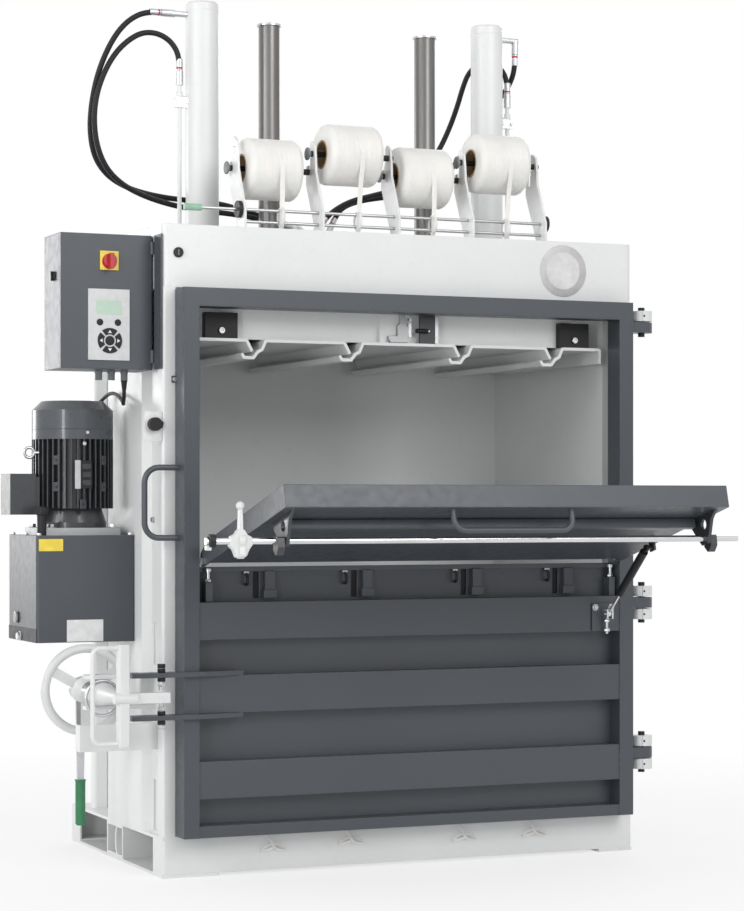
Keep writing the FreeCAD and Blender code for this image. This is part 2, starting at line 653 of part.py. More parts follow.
def chamber():
    """Columns, side walls with their bulged panels, and the ribbed rear wall."""
    z = (DECK, "head_low")
    columns = []
    for number, (x, y) in enumerate(((f"-{HALF}", FRONT), (f"{HALF} - column", FRONT),
                                     (f"-{WALL_OUT} - column", "chamber_back + wall_thick - column"),
                                     (WALL_OUT, "chamber_back + wall_thick - column"))):
        block = profile(f"column_block_{number}", "XY",
                        [(x, y), (f"{x} + column", y), (f"{x} + column", f"{y} + column"),
                         (x, f"{y} + column")],
                        z, (0, 1, 2, 3), "column_round")
        room = box(f"column_room_{number}", (f"{x} + column_wall", f"{x} + column - column_wall"),
                   (f"{y} + column_wall", f"{y} + column - column_wall"), (f"{DECK} - 1", "head_low + 1"))
        columns.append(cut(f"column_{number}", block, room))
    node(group("frame_columns", *columns))
    flange_y = f"{FRONT} + column - wall_thick"
    wall = [(f"-{HALF} + column", flange_y), (f"-{WALL_IN}", flange_y), (f"-{WALL_IN}", "chamber_back"),
            (f"-{WALL_OUT}", "chamber_back"), (f"-{WALL_OUT}", f"{flange_y} + wall_thick"),
            (f"-{HALF} + column", f"{flange_y} + wall_thick")]
    recess = f"(-{HALF} + recess_depth)"
    slope_end = "(panel_front + panel_slope)"
    panel = [(recess, f"{FRONT} + column"), (recess, "panel_front"), (f"-{HALF}", slope_end),
             (f"-{HALF}", "panel_back"), (f"-{WALL_OUT}", "panel_back + panel_return"),
             (f"-{WALL_OUT}", "panel_back + panel_return - panel_sheet * 1.5"),
             (f"-{HALF} + panel_sheet", "panel_back - panel_sheet / 2"),
             (f"-{HALF} + panel_sheet", f"{slope_end} + panel_sheet / 4"),
             (f"{recess} + panel_sheet", "panel_front + panel_sheet / 4"),
             (f"{recess} + panel_sheet", f"{FRONT} + column")]
    slot_y = (f"{FRONT} + column + slot_inset", f"{FRONT} + column + slot_inset + slot_width")
    walls = []
    panels = []
    for side, flip in (("left", list), ("right", mirrored_x)):
        low = f"{recess} - 1" if side == "left" else f"-({recess} + panel_sheet + 1)"
        high = f"{recess} + panel_sheet + 1" if side == "left" else f"-({recess} - 1)"
        walls.append(profile(f"side_wall_{side}", "XY", flip(wall), z))
        panels.append(cut(f"side_panel_{side}", profile(f"panel_sheet_{side}", "XY", flip(panel), z),
                          box(f"panel_slot_low_{side}", (low, high), slot_y,
                              (f"{DECK} + 5", f"{DECK} + 5 + slot_low_height")),
                          box(f"panel_slot_high_{side}", (low, high), slot_y,
                              ("slot_high_low", "slot_high_low + slot_high_height"))))
    node(group("side_walls", *walls))
    node(group("side_panels", *panels))
    rear_y = "(chamber_back + wall_thick)"
    sheet = box("rear_sheet", (f"-{WALL_OUT}", WALL_OUT), ("chamber_back", rear_y), z)
    ribs = []
    for number in range(4):
        low = f"(rib_first + {number} * rib_pitch)"
        block = box(f"rib_block_{number}", (f"-{WALL_OUT}", WALL_OUT), (rear_y, f"{rear_y} + rib_depth"),
                    (low, f"{low} + rib_height"))
        room = box(f"rib_room_{number}", (f"-{WALL_OUT} - 1", f"{WALL_OUT} + 1"),
                   (f"{rear_y} - 1", f"{rear_y} + rib_depth - rib_sheet"),
                   (f"{low} + rib_sheet", f"{low} + rib_height - rib_sheet"))
        ribs.append(cut(f"rib_{number}", block, room))
    node(fuse("rear_wall", sheet, *ribs))


def head():
    """Front, rear and side beams, and the girder that carries cylinders and guides."""
    z = ("head_low", HEAD_TOP)
    inner_z = ("head_low + head_sheet", f"{HEAD_TOP} - head_sheet")
    back = f"({FRONT} + front_beam_depth)"
    block = profile("front_head_block", "XY",
                    [(f"-{HALF}", FRONT), (HALF, FRONT), (HALF, back), (f"-{HALF}", back)],
                    z, (0, 1), "head_round")
    room = box("front_head_room", (f"-{HALF} + head_sheet", f"{HALF} - head_sheet"),
               (f"{FRONT} + head_sheet", f"{back} + 1"), inner_z)
    beam = cut("head_front_channel", block, room)
    rear = box("rear_head_block", (f"-{HALF}", HALF), ("rear_beam_back - rear_beam_depth",
                                                       "rear_beam_back"), z)
    room = box("rear_head_room", (f"-{HALF} + head_sheet", f"{HALF} - head_sheet"),
               ("rear_beam_back - rear_beam_depth - 1", "rear_beam_back - head_sheet"), inner_z)
    sides = [cut("head_rear_beam", rear, room)]
    for name, x in (("left", (f"-{HALF}", f"-{HALF} + side_beam")), ("right", (f"{HALF} - side_beam",
                                                                               HALF))):
        y = (back, "rear_beam_back - rear_beam_depth")
        block = box(f"side_head_block_{name}", x, y, z)
        room = box(f"side_head_room_{name}", (f"{x[0]} + head_sheet", f"{x[1]} - head_sheet"),
                   (f"{y[0]} - 1", f"{y[1]} + 1"), inner_z)
        sides.append(cut(f"side_head_{name}", block, room))
    node(group("head_beams", *sides))
    x = (f"-{HALF} + side_beam", f"{HALF} - side_beam")
    y = ("-cross_depth / 2", "cross_depth / 2")
    girder = box("girder_block", x, y, z)
    room = box("girder_room", (f"{x[0]} - 1", f"{x[1]} + 1"),
               (f"{y[0]} + cross_wall", f"{y[1]} - cross_wall"),
               ("head_low + cross_wall", f"{HEAD_TOP} - cross_wall"))
    bores = []
    for side, sign in (("left", "-"), ("right", "")):
        bores += [
            cylinder(f"girder_cylinder_{side}", "Z", f"{sign}cylinder_place", "0",
                     ("head_low + cross_wall", f"{HEAD_TOP} + 1"), "cylinder_radius + running"),
            cylinder(f"girder_rod_{side}", "Z", f"{sign}cylinder_place", "0",
                     ("head_low - 1", "head_low + cross_wall + 1"), "rod_radius + 4"),
            cylinder(f"girder_guide_{side}", "Z", f"{sign}guide_place", "0",
                     ("head_low - 1", f"{HEAD_TOP} + 1"), "bush_sleeve + running"),
        ]
    girder = cut("girder_bored", girder, room, *bores)
    bushes = [turned(f"guide_bush_{side}", "Z",
                     [("guide_radius + running", "-head_height"), ("bush_sleeve", "-head_height"),
                      ("bush_sleeve", "0"), ("bush_radius", "0"), ("bush_radius", "bush_height - 3"),
                      ("bush_radius - 3", "bush_height"), ("guide_radius + running", "bush_height")],
                     (f"{sign}guide_place", "0", HEAD_TOP)) for side, sign in (("left", "-"), ("right", ""))]
    node(group("head_girder", girder, *bushes))
    disc = cylinder("cover_disc", "Y", f"-{HALF} + plug_inset", (f"{FRONT} - plug_thick", FRONT),
                    f"{HEAD_TOP} - plug_drop", "plug_radius")
    slot = box("cover_slot", (f"-{HALF} + plug_inset - 1.5", f"-{HALF} + plug_inset + 1.5"),
               (f"{FRONT} - plug_thick - 1", f"{FRONT} - plug_thick / 2"),
               (f"{HEAD_TOP} - plug_drop - plug_radius", f"{HEAD_TOP} - plug_drop + plug_radius"))
    node(group("head_front_beam", beam, cut("head_cover_plug", disc, slot)))


def cylinders():
    """Two ram cylinders standing in the girder, their glands at the foot."""
    tall = "(cylinder_top - head_low - cross_wall)"
    section = [("rod_radius + running", "0"), ("cylinder_radius", "0"), ("cylinder_radius", f"{tall} - 5"),
               ("cylinder_radius - 5", tall), ("0", tall), ("0", f"{tall} - cylinder_cap"),
               ("cylinder_bore", f"{tall} - cylinder_cap"), ("cylinder_bore", "gland_length"),
               ("rod_radius + running", "gland_length")]
    tubes = [turned(f"ram_cylinder_{side}", "Z", section,
                    (f"{sign}cylinder_place", "0", "head_low + cross_wall"))
             for side, sign in (("left", "-"), ("right", ""))]
    node(group("ram_cylinders", *tubes))


def ram():
    """Platen of folded sheets with strap gaps, its box, piston rods and guide columns."""
    low = "(platen_top - platen_sheet)"
    foot = f"({low} - platen_drop)"
    y = ("platen_front", "platen_back")
    sheets = []
    gaps = ("-strap_outer", "-strap_inner", "strap_inner", "strap_outer")
    starts = ["-platen_half"] + [f"({gap} + strap_gap * 1.6)" for gap in gaps]
    ends = [f"({gap} - strap_gap * 0.6)" for gap in gaps] + ["platen_half"]
    for number, (start, end) in enumerate(zip(starts, ends)):
        if number == 0:
            points = [(start, low)]
        else:
            points = [(f"{start} - 72", f"{foot} + 12"), (f"{start} - 64", foot), (f"{start} - 34", foot),
                      (f"{start} - 22", f"{foot} + 16"), (f"{start} - 10", f"{foot} + 22"), (start, low)]
        if number == 4:
            points += [(f"{end} - platen_sheet", low),
                       (f"{end} - platen_sheet", f"{low} - platen_drop + 10")]
        else:
            points += [(end, low), (f"{end} + 14", f"{foot} + 18")]
        sheets.append(folded(f"platen_sheet_{number}", "XZ", points, "platen_sheet", y))
    node(group("platen_sheets", *sheets))
    x = ("-carrier_half", "carrier_half")
    shell = box("carrier_block", x, ("carrier_front", "carrier_back"), ("platen_top", CARRIER_TOP))
    room = box("carrier_room", ("-carrier_half + carrier_wall", "carrier_half - carrier_wall"),
               ("carrier_front + carrier_wall", "carrier_back - carrier_wall"),
               ("platen_top - 1", f"{CARRIER_TOP} - carrier_wall"))
    post = box("carrier_post", ("-guide_block / 2 - 20", "guide_block / 2 - 20"),
               ("carrier_front - 14", "carrier_front"), ("platen_top", f"{CARRIER_TOP} - carrier_wall"))
    node(fuse("platen_box", cut("carrier_shell", shell, room), post))
    rods = []
    guides = []
    piston_top = "(cylinder_top - cylinder_cap - piston_gap)"
    for side, sign in (("left", "-"), ("right", "")):
        rods.append(turned(f"piston_rod_{side}", "Z",
                           [("0", "0"), ("rod_radius", "0"),
                            ("rod_radius", f"{piston_top} - piston_length - {CARRIER_TOP}"),
                            ("cylinder_bore - running", f"{piston_top} - piston_length - {CARRIER_TOP}"),
                            ("cylinder_bore - running", f"{piston_top} - {CARRIER_TOP}"),
                            ("0", f"{piston_top} - {CARRIER_TOP}")],
                           (f"{sign}cylinder_place", "0", CARRIER_TOP)))
        guides.append(turned(f"guide_column_{side}", "Z",
                             [("0", "0"), ("guide_radius", "0"),
                              ("guide_radius", f"guide_top - guide_cap - {CARRIER_TOP}"),
                              ("guide_cap_radius", f"guide_top - guide_cap - {CARRIER_TOP}"),
                              ("guide_cap_radius", f"guide_top - guide_cap / 2 - {CARRIER_TOP}"),
                              ("guide_radius / 2", f"guide_top - {CARRIER_TOP}"), ("0", f"guide_top - {CARRIER_TOP}")],
                             (f"{sign}guide_place", "0", CARRIER_TOP)))
    node(group("piston_rods", *rods))
    node(group("guide_columns", *guides))
    blocks = []
    for side, (near, far) in (("left", ("-platen_half + 34", "-platen_half + 34 + guide_block")),
                              ("right", ("platen_half - 34 - guide_block", "platen_half - 34"))):
        block = box(f"slide_block_{side}", (near, far), ("platen_front + guide_block_front",
                                                         "carrier_front"),
                    ("platen_top", "platen_top + guide_block_height"))
        bore = cylinder(f"slide_block_bore_{side}", "Y", f"{near} + guide_block / 2",
                        ("platen_front + 7", "platen_front + 18"), "platen_top + 20", "9")
        blocks.append(cut(f"slide_{side}", block, bore))
    node(group("platen_slide_blocks", *blocks))


def strapping():
    """Five arms with two seats each, four strap rolls on spindles, and the strap rails."""
    def up(text):
        return f"({HEAD_TOP} + {text})"
    slot = "(spindle_radius + running)"
    arms = []
    for number in range(5):
        middle = f"({number - 2} * roll_pitch)"
        x = (f"{middle} - arm_thick / 2", f"{middle} + arm_thick / 2")
        wide = (f"{middle} - arm_thick", f"{middle} + arm_thick")
        plate = profile(f"arm_plate_{number}", "YZ",
                        [("arm_foot_front", HEAD_TOP), ("arm_foot_back", HEAD_TOP),
                         ("arm_back", up("seat_low - 30")),
                         ("arm_back", up("seat_low + 15")), ("arm_back - 30", up("seat_low + 24")),
                         ("arm_back - 26", up("arm_tip - 12")), ("arm_back - 36", up("arm_tip")),
                         ("arm_back - 58", up("arm_tip - 16")), ("arm_back - 64", up("seat_high - 14")),
                         ("arm_back - 66", up("seat_low - 4")), ("arm_foot_front + 8", up("rail_high + 18")),
                         ("arm_foot_front", up("rail_high"))], x, (5, 6, 7, 8, 9), "5")
        arms.append(cut(f"arm_{number}", plate,
                        cylinder(f"arm_low_seat_{number}", "X", wide, "seat_low_y", up("seat_low"), slot),
                        box(f"arm_low_mouth_{number}", wide,
                            (f"seat_low_y - {slot}", f"seat_low_y + {slot}"),
                            (up("seat_low"), up("seat_low + 26"))),
                        cylinder(f"arm_high_seat_{number}", "X", wide, "seat_high_y", up("seat_high"), slot),
                        box(f"arm_high_mouth_{number}", wide, ("seat_high_y", "arm_back"),
                            (up(f"seat_high - {slot}"), up(f"seat_high + {slot}"))),
                        cylinder(f"arm_rail_high_{number}", "X", wide, "rail_y", up("rail_high"),
                                 "rail_radius + running"),
                        cylinder(f"arm_rail_low_{number}", "X", wide, "rail_y", up("rail_low"),
                                 "rail_radius")))
    for number in range(4):
        middle = f"({number - 1.5} * roll_pitch)"
        seat_y, seat_z = ("seat_low_y", up("seat_low")) if number % 2 == 0 else ("seat_high_y", up("seat_high"))
        winding = turned(f"strap_winding_{number + 1}", "X",
                    [("core_radius - core_thick", "0"), ("roll_radius - 2", "0"), ("roll_radius", "2"),
                     ("roll_radius", "roll_width - 2"), ("roll_radius - 2", "roll_width"),
                     ("core_radius - core_thick", "roll_width")],
                    (f"{middle} - roll_width / 2", seat_y, seat_z))
        hub = "(core_radius - core_thick)"
        side = "(roll_pitch / 2 + arm_thick / 2)"
        gap = f"({side} - roll_width / 2)"
        spindle = turned(f"roll_spindle_{number + 1}", "X",
                    [("0", "-17"), ("knob_radius", "-17"), ("knob_radius", "-11"), ("spindle_radius", "-6"),
                     ("spindle_radius", f"{gap} + 6"), (hub, f"{gap} + 6"), (hub, f"{gap} + 6 + hub_thick"),
                     ("spindle_radius", f"{gap} + 6 + hub_thick"),
                     ("spindle_radius", f"{gap} + roll_width - 6 - hub_thick"),
                     (hub, f"{gap} + roll_width - 6 - hub_thick"), (hub, f"{gap} + roll_width - 6"),
                     ("spindle_radius", f"{gap} + roll_width - 6"), ("spindle_radius", f"2 * {side} + 8"),
                     ("0", f"2 * {side} + 8")],
                    (f"{middle} - {side}", seat_y, seat_z))
        node(group(f"strap_roll_{number + 1}", winding, spindle))
    wide = "(2 * roll_pitch + arm_thick / 2)"
    rail = cylinder("rail_high_bar", "X", (f"-{wide} - rail_reach", f"{wide} + rail_wheel_thick + 4"),
                    "rail_y",
                    up("rail_high"), "rail_radius")
    wheels = [cylinder("rail_wheel_left", "X", (f"-{wide} - rail_wheel_thick - 1", f"-{wide} - 1"), "rail_y",
                       up("rail_high"), "rail_wheel"),
              cylinder("rail_wheel_right", "X", (f"{wide} + 1", f"{wide} + 1 + rail_wheel_thick"), "rail_y",
                       up("rail_high"), "rail_wheel")]
    grip = cylinder("rail_grip_bar", "X", (f"-{wide} - rail_reach - rail_grip_length",
                                           f"-{wide} - rail_reach"),
                    "rail_y", up("rail_high"), "rail_grip")
    node(group("strap_rail_upper", fuse("rail_with_wheels", rail, *wheels), grip))
    lower = cylinder("strap_rail_lower", "X", (f"-{wide}", wide), "rail_y", up("rail_low"), "rail_radius")
    node(group("roll_arms", *arms, lower))
    rings = []
    for number in range(4):
        ring = doc.addObject("Part::Torus", f"strap_ring_{number}")
        ring.Placement.Rotation = TURN["X"]
        bind(ring, Radius1="strap_ring", Radius2="strap_ring_wire", x=f"({number - 1.5} * roll_pitch)",
             y="rail_y", z=up("(rail_low + rail_high) / 2"))
        rings.append(ring)
    node(group("strap_rings", *rings))


def door():
    """Welded door frame with three beams, its skin, strap channels, hook plates and pull."""
    stile_y = (DOOR_FRONT, DOOR_BACK)
    z = ("door_low", "door_top")
    parts = []
    for side, x in (("left", (f"-{DOOR_HALF}", f"-{DOOR_IN}")), ("right", (DOOR_IN, DOOR_HALF))):
        block = box(f"stile_block_{side}", x, stile_y, z)
        room = box(f"stile_room_{side}", (f"{x[0]} + door_sheet", f"{x[1]} - door_sheet"),
                   (f"{DOOR_FRONT} + door_sheet", f"{DOOR_BACK} - door_sheet"), ("door_low - 1", "door_top - door_sheet"))
        parts.append(cut(f"stile_{side}", block, room))
    inner = (f"-{DOOR_IN}", DOOR_IN)
    inset = f"({DOOR_FRONT} + beam_inset)"
    channels = [("top_rail", "door_top - top_rail", "top_rail", DOOR_FRONT, DOOR_BACK),
                ("bottom_rail", "door_low", "bottom_rail", inset, DOOR_BACK),
                ("beam_one", "beam_one", "door_beam", inset, "skin_y"),
                ("beam_two", "beam_two", "door_beam", inset, "skin_y"),
                ("beam_three", "beam_three", "door_beam", inset, "skin_y")]
    for name, low, height, near, far in channels:
        block = box(f"door_{name}_block", inner, (near, far), (low, f"{low} + {height}"))
        room = box(f"door_{name}_room", inner, (f"{near} + door_sheet", f"{far} + 1"),
                   (f"{low} + door_sheet", f"{low} + {height} - door_sheet"))
        parts.append(cut(f"door_{name}", block, room))
    parts.append(box("door_sill", inner, ("skin_y - sill_depth", "skin_y"),
                     ("flap_axis_z - skin_below - sill_height", "flap_axis_z - skin_below")))
    pull = bent_bar("door_pull",
                    [place(f"-{DOOR_HALF}", "hinge_y", "pull_low"),
                     place(f"-{DOOR_HALF} - pull_reach", "hinge_y", "pull_low"),
                     place(f"-{DOOR_HALF} - pull_reach", "hinge_y", "pull_high"),
                     place(f"-{DOOR_HALF}", "hinge_y", "pull_high")], "pull_radius", "pull_bend")
    node(group("door_frame", fuse("door_welded", *parts), pull))
    skin = box("skin_sheet", inner, ("skin_y", "skin_y + skin_thick"),
               ("door_low + bottom_rail", "flap_axis_z - skin_below"))
    slots = []
    tabs = []
    middles = ("-strap_outer", "-strap_inner", "strap_inner", "strap_outer")
    for number, middle in enumerate(middles):
        slots.append(box(f"skin_slot_{number}", (f"{middle} - strap_slot / 2", f"{middle} + strap_slot / 2"),
                         ("skin_y - 1", "skin_y + skin_thick + 1"), ("strap_slot_low", "strap_slot_high")))
        centre = f"({middle} + strap_tab_shift)"
        block = fuse(f"strap_tab_block_{number}",
                     box(f"strap_tab_bar_{number}",
                         (f"{centre} - strap_tab / 2", f"{centre} + strap_tab / 2"),
                         ("skin_y - strap_tab_depth", "skin_y"), ("strap_slot_low", "strap_slot_high")),
                     box(f"strap_tab_foot_{number}", (f"{centre} - strap_tab / 2 - 4",
                                                      f"{centre} + strap_tab / 2 + 4"),
                         ("skin_y - strap_tab_depth - 3", "skin_y"), ("strap_slot_low",
                                                                      "strap_slot_low + 22")))
        room = box(f"strap_tab_room_{number}", (f"{centre} - strap_tab / 2 + 3",
                                                f"{centre} + strap_tab / 2 - 3"),
                   ("skin_y - strap_tab_depth + 4", "skin_y + 1"), ("strap_slot_low - 1", "flap_axis_z"))
        tabs.append(cut(f"strap_tab_{number}", block, room))
    node(cut("door_skin", skin, *slots))
    plates = []
    for number, low in enumerate(("beam_two - lock_plate_thick", "beam_two + door_beam")):
        plates.append(profile(f"hook_plate_{number}", "XY",
                              [("lock_plate_tip", "lock_plate_back"), ("lock_plate_tip", "lock_plate_front"),
                               ("lock_plate_tip + 190", "lock_plate_front"), ("lock_plate_root",
                                                                              f"{DOOR_FRONT} + beam_inset"),
                               ("lock_plate_root", f"{DOOR_FRONT} + beam_inset + 24"),
                               (f"-{DOOR_IN}", f"{DOOR_FRONT} + beam_inset + 24"), (f"-{DOOR_IN}", DOOR_FRONT),
                               (f"-{DOOR_HALF}", DOOR_FRONT), (f"-{DOOR_HALF}", "lock_plate_back")],
                              (low, f"{low} + lock_plate_thick")))
    bolts = []
    for number, (head_end, foot_end) in enumerate((("lock_z + lock_tongue_height / 2 + 3",
                                                    "beam_two + door_beam + lock_plate_thick + 22"),
                                                   ("beam_two - lock_plate_thick - 22",
                                                    "lock_z - lock_tongue_height / 2 - 3"))):
        bolts.append(cylinder(f"hook_bolt_{number}", "Z", "lock_bolt_x",
                              "(lock_plate_front + lock_plate_back) / 2 - 8",
                              (head_end, foot_end), "lock_bolt"))
    node(fuse("door_hook_plates", *plates, *bolts))
    stops = []
    for number, x in enumerate((f"-{DOOR_IN} + 32", f"{DOOR_IN} - 14")):
        block = box(f"stop_block_{number}", (f"{x} - 9", f"{x} + 9"), ("skin_y - 34", "skin_y"),
                    ("beam_one + door_beam", "beam_one + door_beam + 50"))
        bolt = cylinder(f"stop_bolt_{number}", "Z", x, "skin_y - 22",
                        ("beam_one + door_beam + 50", "beam_one + door_beam + 76"), "5")
        head_disc = cylinder(f"stop_head_{number}", "Z", x, "skin_y - 22",
                             ("beam_one + door_beam + 76", "beam_one + door_beam + 84"), "9")
        stops.append(fuse(f"stop_{number}", block, bolt, head_disc))
    node(group("door_fittings", *tabs, *stops, *flap_pivots(), *strut_foot()))


def door_hinges():
    """Three hinges: white knuckles on the frame, grey knuckles on the door, one pin each."""
    step = "(knuckle + knuckle_gap)"
    frame_knuckles = []
    door_knuckles = []
    pins = []
    for name, low, count in (("top", "hinge_top", 2), ("middle", "hinge_middle", 3),
                             ("low", "hinge_low", 3)):
        for number in range(count):
            z = (f"{low} + {number} * {step}", f"{low} + {number} * {step} + knuckle")
            on_door = number == (0 if count == 2 else 1)
            inner_x = DOOR_HALF if on_door else HALF
            y = ("hinge_y - hinge_round", "hinge_y + hinge_round")
            if on_door:
                foot = box(f"knuckle_foot_{name}_{number}", (inner_x, "hinge_x"), y, z)
            else:
                foot = box(f"knuckle_foot_{name}_{number}", (inner_x, "hinge_x"),
                           ("hinge_y - hinge_round", f"{FRONT} + column / 2"), z)
            round_end = cylinder(f"knuckle_round_{name}_{number}", "Z", "hinge_x", "hinge_y", z,
                                 "hinge_round")
            bore = cylinder(f"knuckle_bore_{name}_{number}", "Z", "hinge_x", "hinge_y",
                            (f"{z[0]} - 1",
                             f"{z[1]} + 1"), "pin_radius + running" if on_door else "pin_radius")
            knuckle = cut(f"knuckle_{name}_{number}", fuse(f"knuckle_block_{name}_{number}", foot,
                                                           round_end), bore)
            (door_knuckles if on_door else frame_knuckles).append(knuckle)
        high = f"{low} + {count - 1} * {step} + knuckle"
        pins.append(cylinder(f"pin_{name}", "Z", "hinge_x", "hinge_y",
                             (f"{low} - pin_proud", f"{high} + pin_proud"),
                             "pin_radius"))
    node(group("frame_hinges", *frame_knuckles, *pins))
    node(group("door_hinges", *door_knuckles))


def swing(name, item):
    """A flap piece drawn closed, swung down about the flap pins."""
    whole = group(name, item)
    whole.Placement.Rotation = FreeCAD.Rotation(V(1, 0, 0), 1)
    whole.setExpression("Placement.Rotation.Angle", formula("flap_open"))
    return node(bind(whole, y=DOOR_FRONT, z="flap_axis_z"))


def flap():
    """Loading flap: pan with side plates, ribs and a box edge; pins, grab bar, latch bar."""
    x = (f"-{FLAP_HALF}", FLAP_HALF)
    inner = (f"-{FLAP_HALF} + flap_side", f"{FLAP_HALF} - flap_side")
    parts = [box("flap_skin", x, ("flap_front", "flap_front + flap_sheet"), ("flap_foot", "flap_reach")),
             box("flap_hem", inner, ("flap_front", "flap_back"), ("flap_foot", "flap_foot + flap_sheet"))]
    band = box("flap_band_block", inner, ("flap_front", "flap_back"),
               ("flap_reach - flap_band", "flap_reach"))
    band_room = box("flap_band_room", inner, ("flap_front + flap_sheet", "flap_back - flap_sheet"),
                    ("flap_reach - flap_band + flap_sheet", "flap_reach - flap_sheet"))
    parts.append(cut("flap_band_box", band, band_room))
    for number, low in enumerate(("flap_rib_one", "flap_rib_two")):
        block = box(f"flap_rib_block_{number}", inner,
                    ("flap_front + flap_sheet", "flap_front + flap_rib_depth"),
                    (low, f"{low} + flap_rib"))
        room = box(f"flap_rib_room_{number}", inner,
                   ("flap_front", "flap_front + flap_rib_depth - flap_sheet"),
                   (f"{low} + flap_sheet", f"{low} + flap_rib - flap_sheet"))
        parts.append(cut(f"flap_rib_{number}", block, room))
    for side, span in (("left", (f"-{FLAP_HALF}", f"-{FLAP_HALF} + flap_side")),
                       ("right", (f"{FLAP_HALF} - flap_side", FLAP_HALF))):
        plate = profile(f"flap_side_plate_{side}", "YZ",
                        [("flap_front", "-14"), ("flap_back / 2", "-14"), ("flap_back", "flap_foot"),
                         ("flap_back", "flap_reach"), ("flap_front", "flap_reach")], span, (0, 1), "10")
        parts.append(plate)
    bores = [cylinder(f"flap_bore_{side}", "X", span, "0", "0", "flap_pin + running")
             for side, span in (("left", (f"-{FLAP_HALF} - 1", f"-{FLAP_HALF} + flap_side + 1")),
                                ("right", (f"{FLAP_HALF} - flap_side - 1", f"{FLAP_HALF} + 1")))]
    pan = cut("flap_welded", fuse("flap_blank", *parts), *bores)
    grip_y = "flap_front"
    bar = bent_bar("flap_grip_bar", [place("-flap_grip_half", grip_y, "flap_reach - flap_grip_inset"),
                                     place("-flap_grip_half", "flap_front - flap_grip_drop",
                                           "flap_reach - flap_grip_inset"),
                                     place("flap_grip_half", "flap_front - flap_grip_drop",
                                           "flap_reach - flap_grip_inset"),
                                     place("flap_grip_half", grip_y, "flap_reach - flap_grip_inset")],
                   "flap_grip_radius", "flap_grip_bend")
    swing("flap_pan", group("flap_with_grip", pan, bar))
    brackets = []
    for side, sign in (("left", "-"), ("right", "")):
        low, high = (f"-{BRACKET_X} - bracket_thick", f"-{BRACKET_X}") if sign else (BRACKET_X, f"{BRACKET_X} + bracket_thick")
        plate = profile(f"latch_bracket_plate_{side}", "YZ",
                        [("flap_front", f"{LATCH_REACH} - 60"), ("flap_front - 22", f"{LATCH_REACH} - 52"),
                         ("-latch_drop - 16", f"{LATCH_REACH} - 14"), ("-latch_drop - 16",
                                                                       f"{LATCH_REACH} + 14"),
                         ("flap_front - 18", f"{LATCH_REACH} + 44"), ("flap_front", f"{LATCH_REACH} + 70")],
                        (low, high), (1, 2, 3, 4), "8")
        bore = cylinder(f"latch_bracket_bore_{side}", "X", (f"{low} - 1", f"{high} + 1"), "-latch_drop",
                        LATCH_REACH,
                        "latch_radius + running")
        window = cylinder(f"latch_bracket_window_{side}", "X", (f"{low} - 1", f"{high} + 1"),
                          "flap_front - 24",
                          f"{LATCH_REACH} + 6", "13")
        brackets.append(cut(f"latch_bracket_{side}", plate, bore, window))
    stud = cylinder("strut_stud_bar", "X", (f"{STRUT_X} + strut_eye_thick / 2 + 1", f"{STRUT_X} + 22"),
                    "-strut_drop", "strut_reach",
                    "strut_pin")
    ear = box("strut_stud_ear", (f"{STRUT_X} + 16", f"{STRUT_X} + 22"), ("-strut_drop - 8", "flap_front"),
              ("strut_reach - 12", "strut_reach + 12"))
    swing("flap_brackets", group("flap_bracket_set", *brackets, fuse("strut_stud", stud, ear)))


def latch():
    """Latch bar under the flap with a cam at each bracket, and its cast release lever."""
    bar = cylinder("latch_round_bar", "X", (f"-{FLAP_HALF} - latch_left", f"{FLAP_HALF} + latch_right"),
                   LATCH_Y, LATCH_Z, "latch_radius")
    cams = []
    for side, sign in (("left", "-"), ("right", "")):
        near = f"({BRACKET_X} + bracket_thick + 2)"
        span = (f"-{near} - cam_thick", f"-{near}") if sign else (near, f"{near} + cam_thick")
        cam = profile(f"latch_cam_{side}", "YZ",
                      [(f"{LATCH_Y} - 14", f"{LATCH_Z} + 10"), (f"{LATCH_Y} - 18", f"{LATCH_Z} - 16"),
                       (f"{LATCH_Y} - 4", f"{LATCH_Z} - 36"), (f"{LATCH_Y} + 16", f"{LATCH_Z} - 22"),
                       (f"{LATCH_Y} + 14", f"{LATCH_Z} + 10")], span, (0, 1, 2, 3, 4), "6")
        cams.append(cam)
    node(fuse("latch_bar", bar, *cams))
    left = f"(-{LEVER_X} - lever_thick)"
    hub = cylinder("lever_hub_disc", "X", (left, f"-{LEVER_X}"), LATCH_Y, LATCH_Z, "lever_hub")
    arm = profile("lever_arm", "YZ",
                  [(f"{LATCH_Y} - 13", LATCH_Z), (f"{LATCH_Y} + 13", LATCH_Z),
                   (f"{LATCH_Y} + 5", f"{LATCH_Z} + lever_length - 4"),
                   (f"{LATCH_Y} - 5", f"{LATCH_Z} + lever_length - 4")], (f"{left} + 3", f"-{LEVER_X} - 3"))
    ball = doc.addObject("Part::Sphere", "lever_ball_end")
    bind(ball, Radius="lever_ball", x=f"{left} + lever_thick / 2", y=LATCH_Y, z=f"{LATCH_Z} + lever_length")
    foot = profile("lever_foot", "YZ",
                   [(f"{LATCH_Y} - 12", LATCH_Z), (f"{LATCH_Y} - 20", f"{LATCH_Z} - 34"),
                    (LATCH_Y, f"{LATCH_Z} - 42"), (f"{LATCH_Y} + 16", f"{LATCH_Z} - 14")],
                   (left, f"-{LEVER_X}"), (1, 2), "6")
    bore = cylinder("lever_bore", "X", (f"{left} - 1", f"-{LEVER_X} + 1"), LATCH_Y, LATCH_Z, "latch_radius")
    node(cut("latch_lever", fuse("lever_casting", hub, arm, ball, foot), bore))


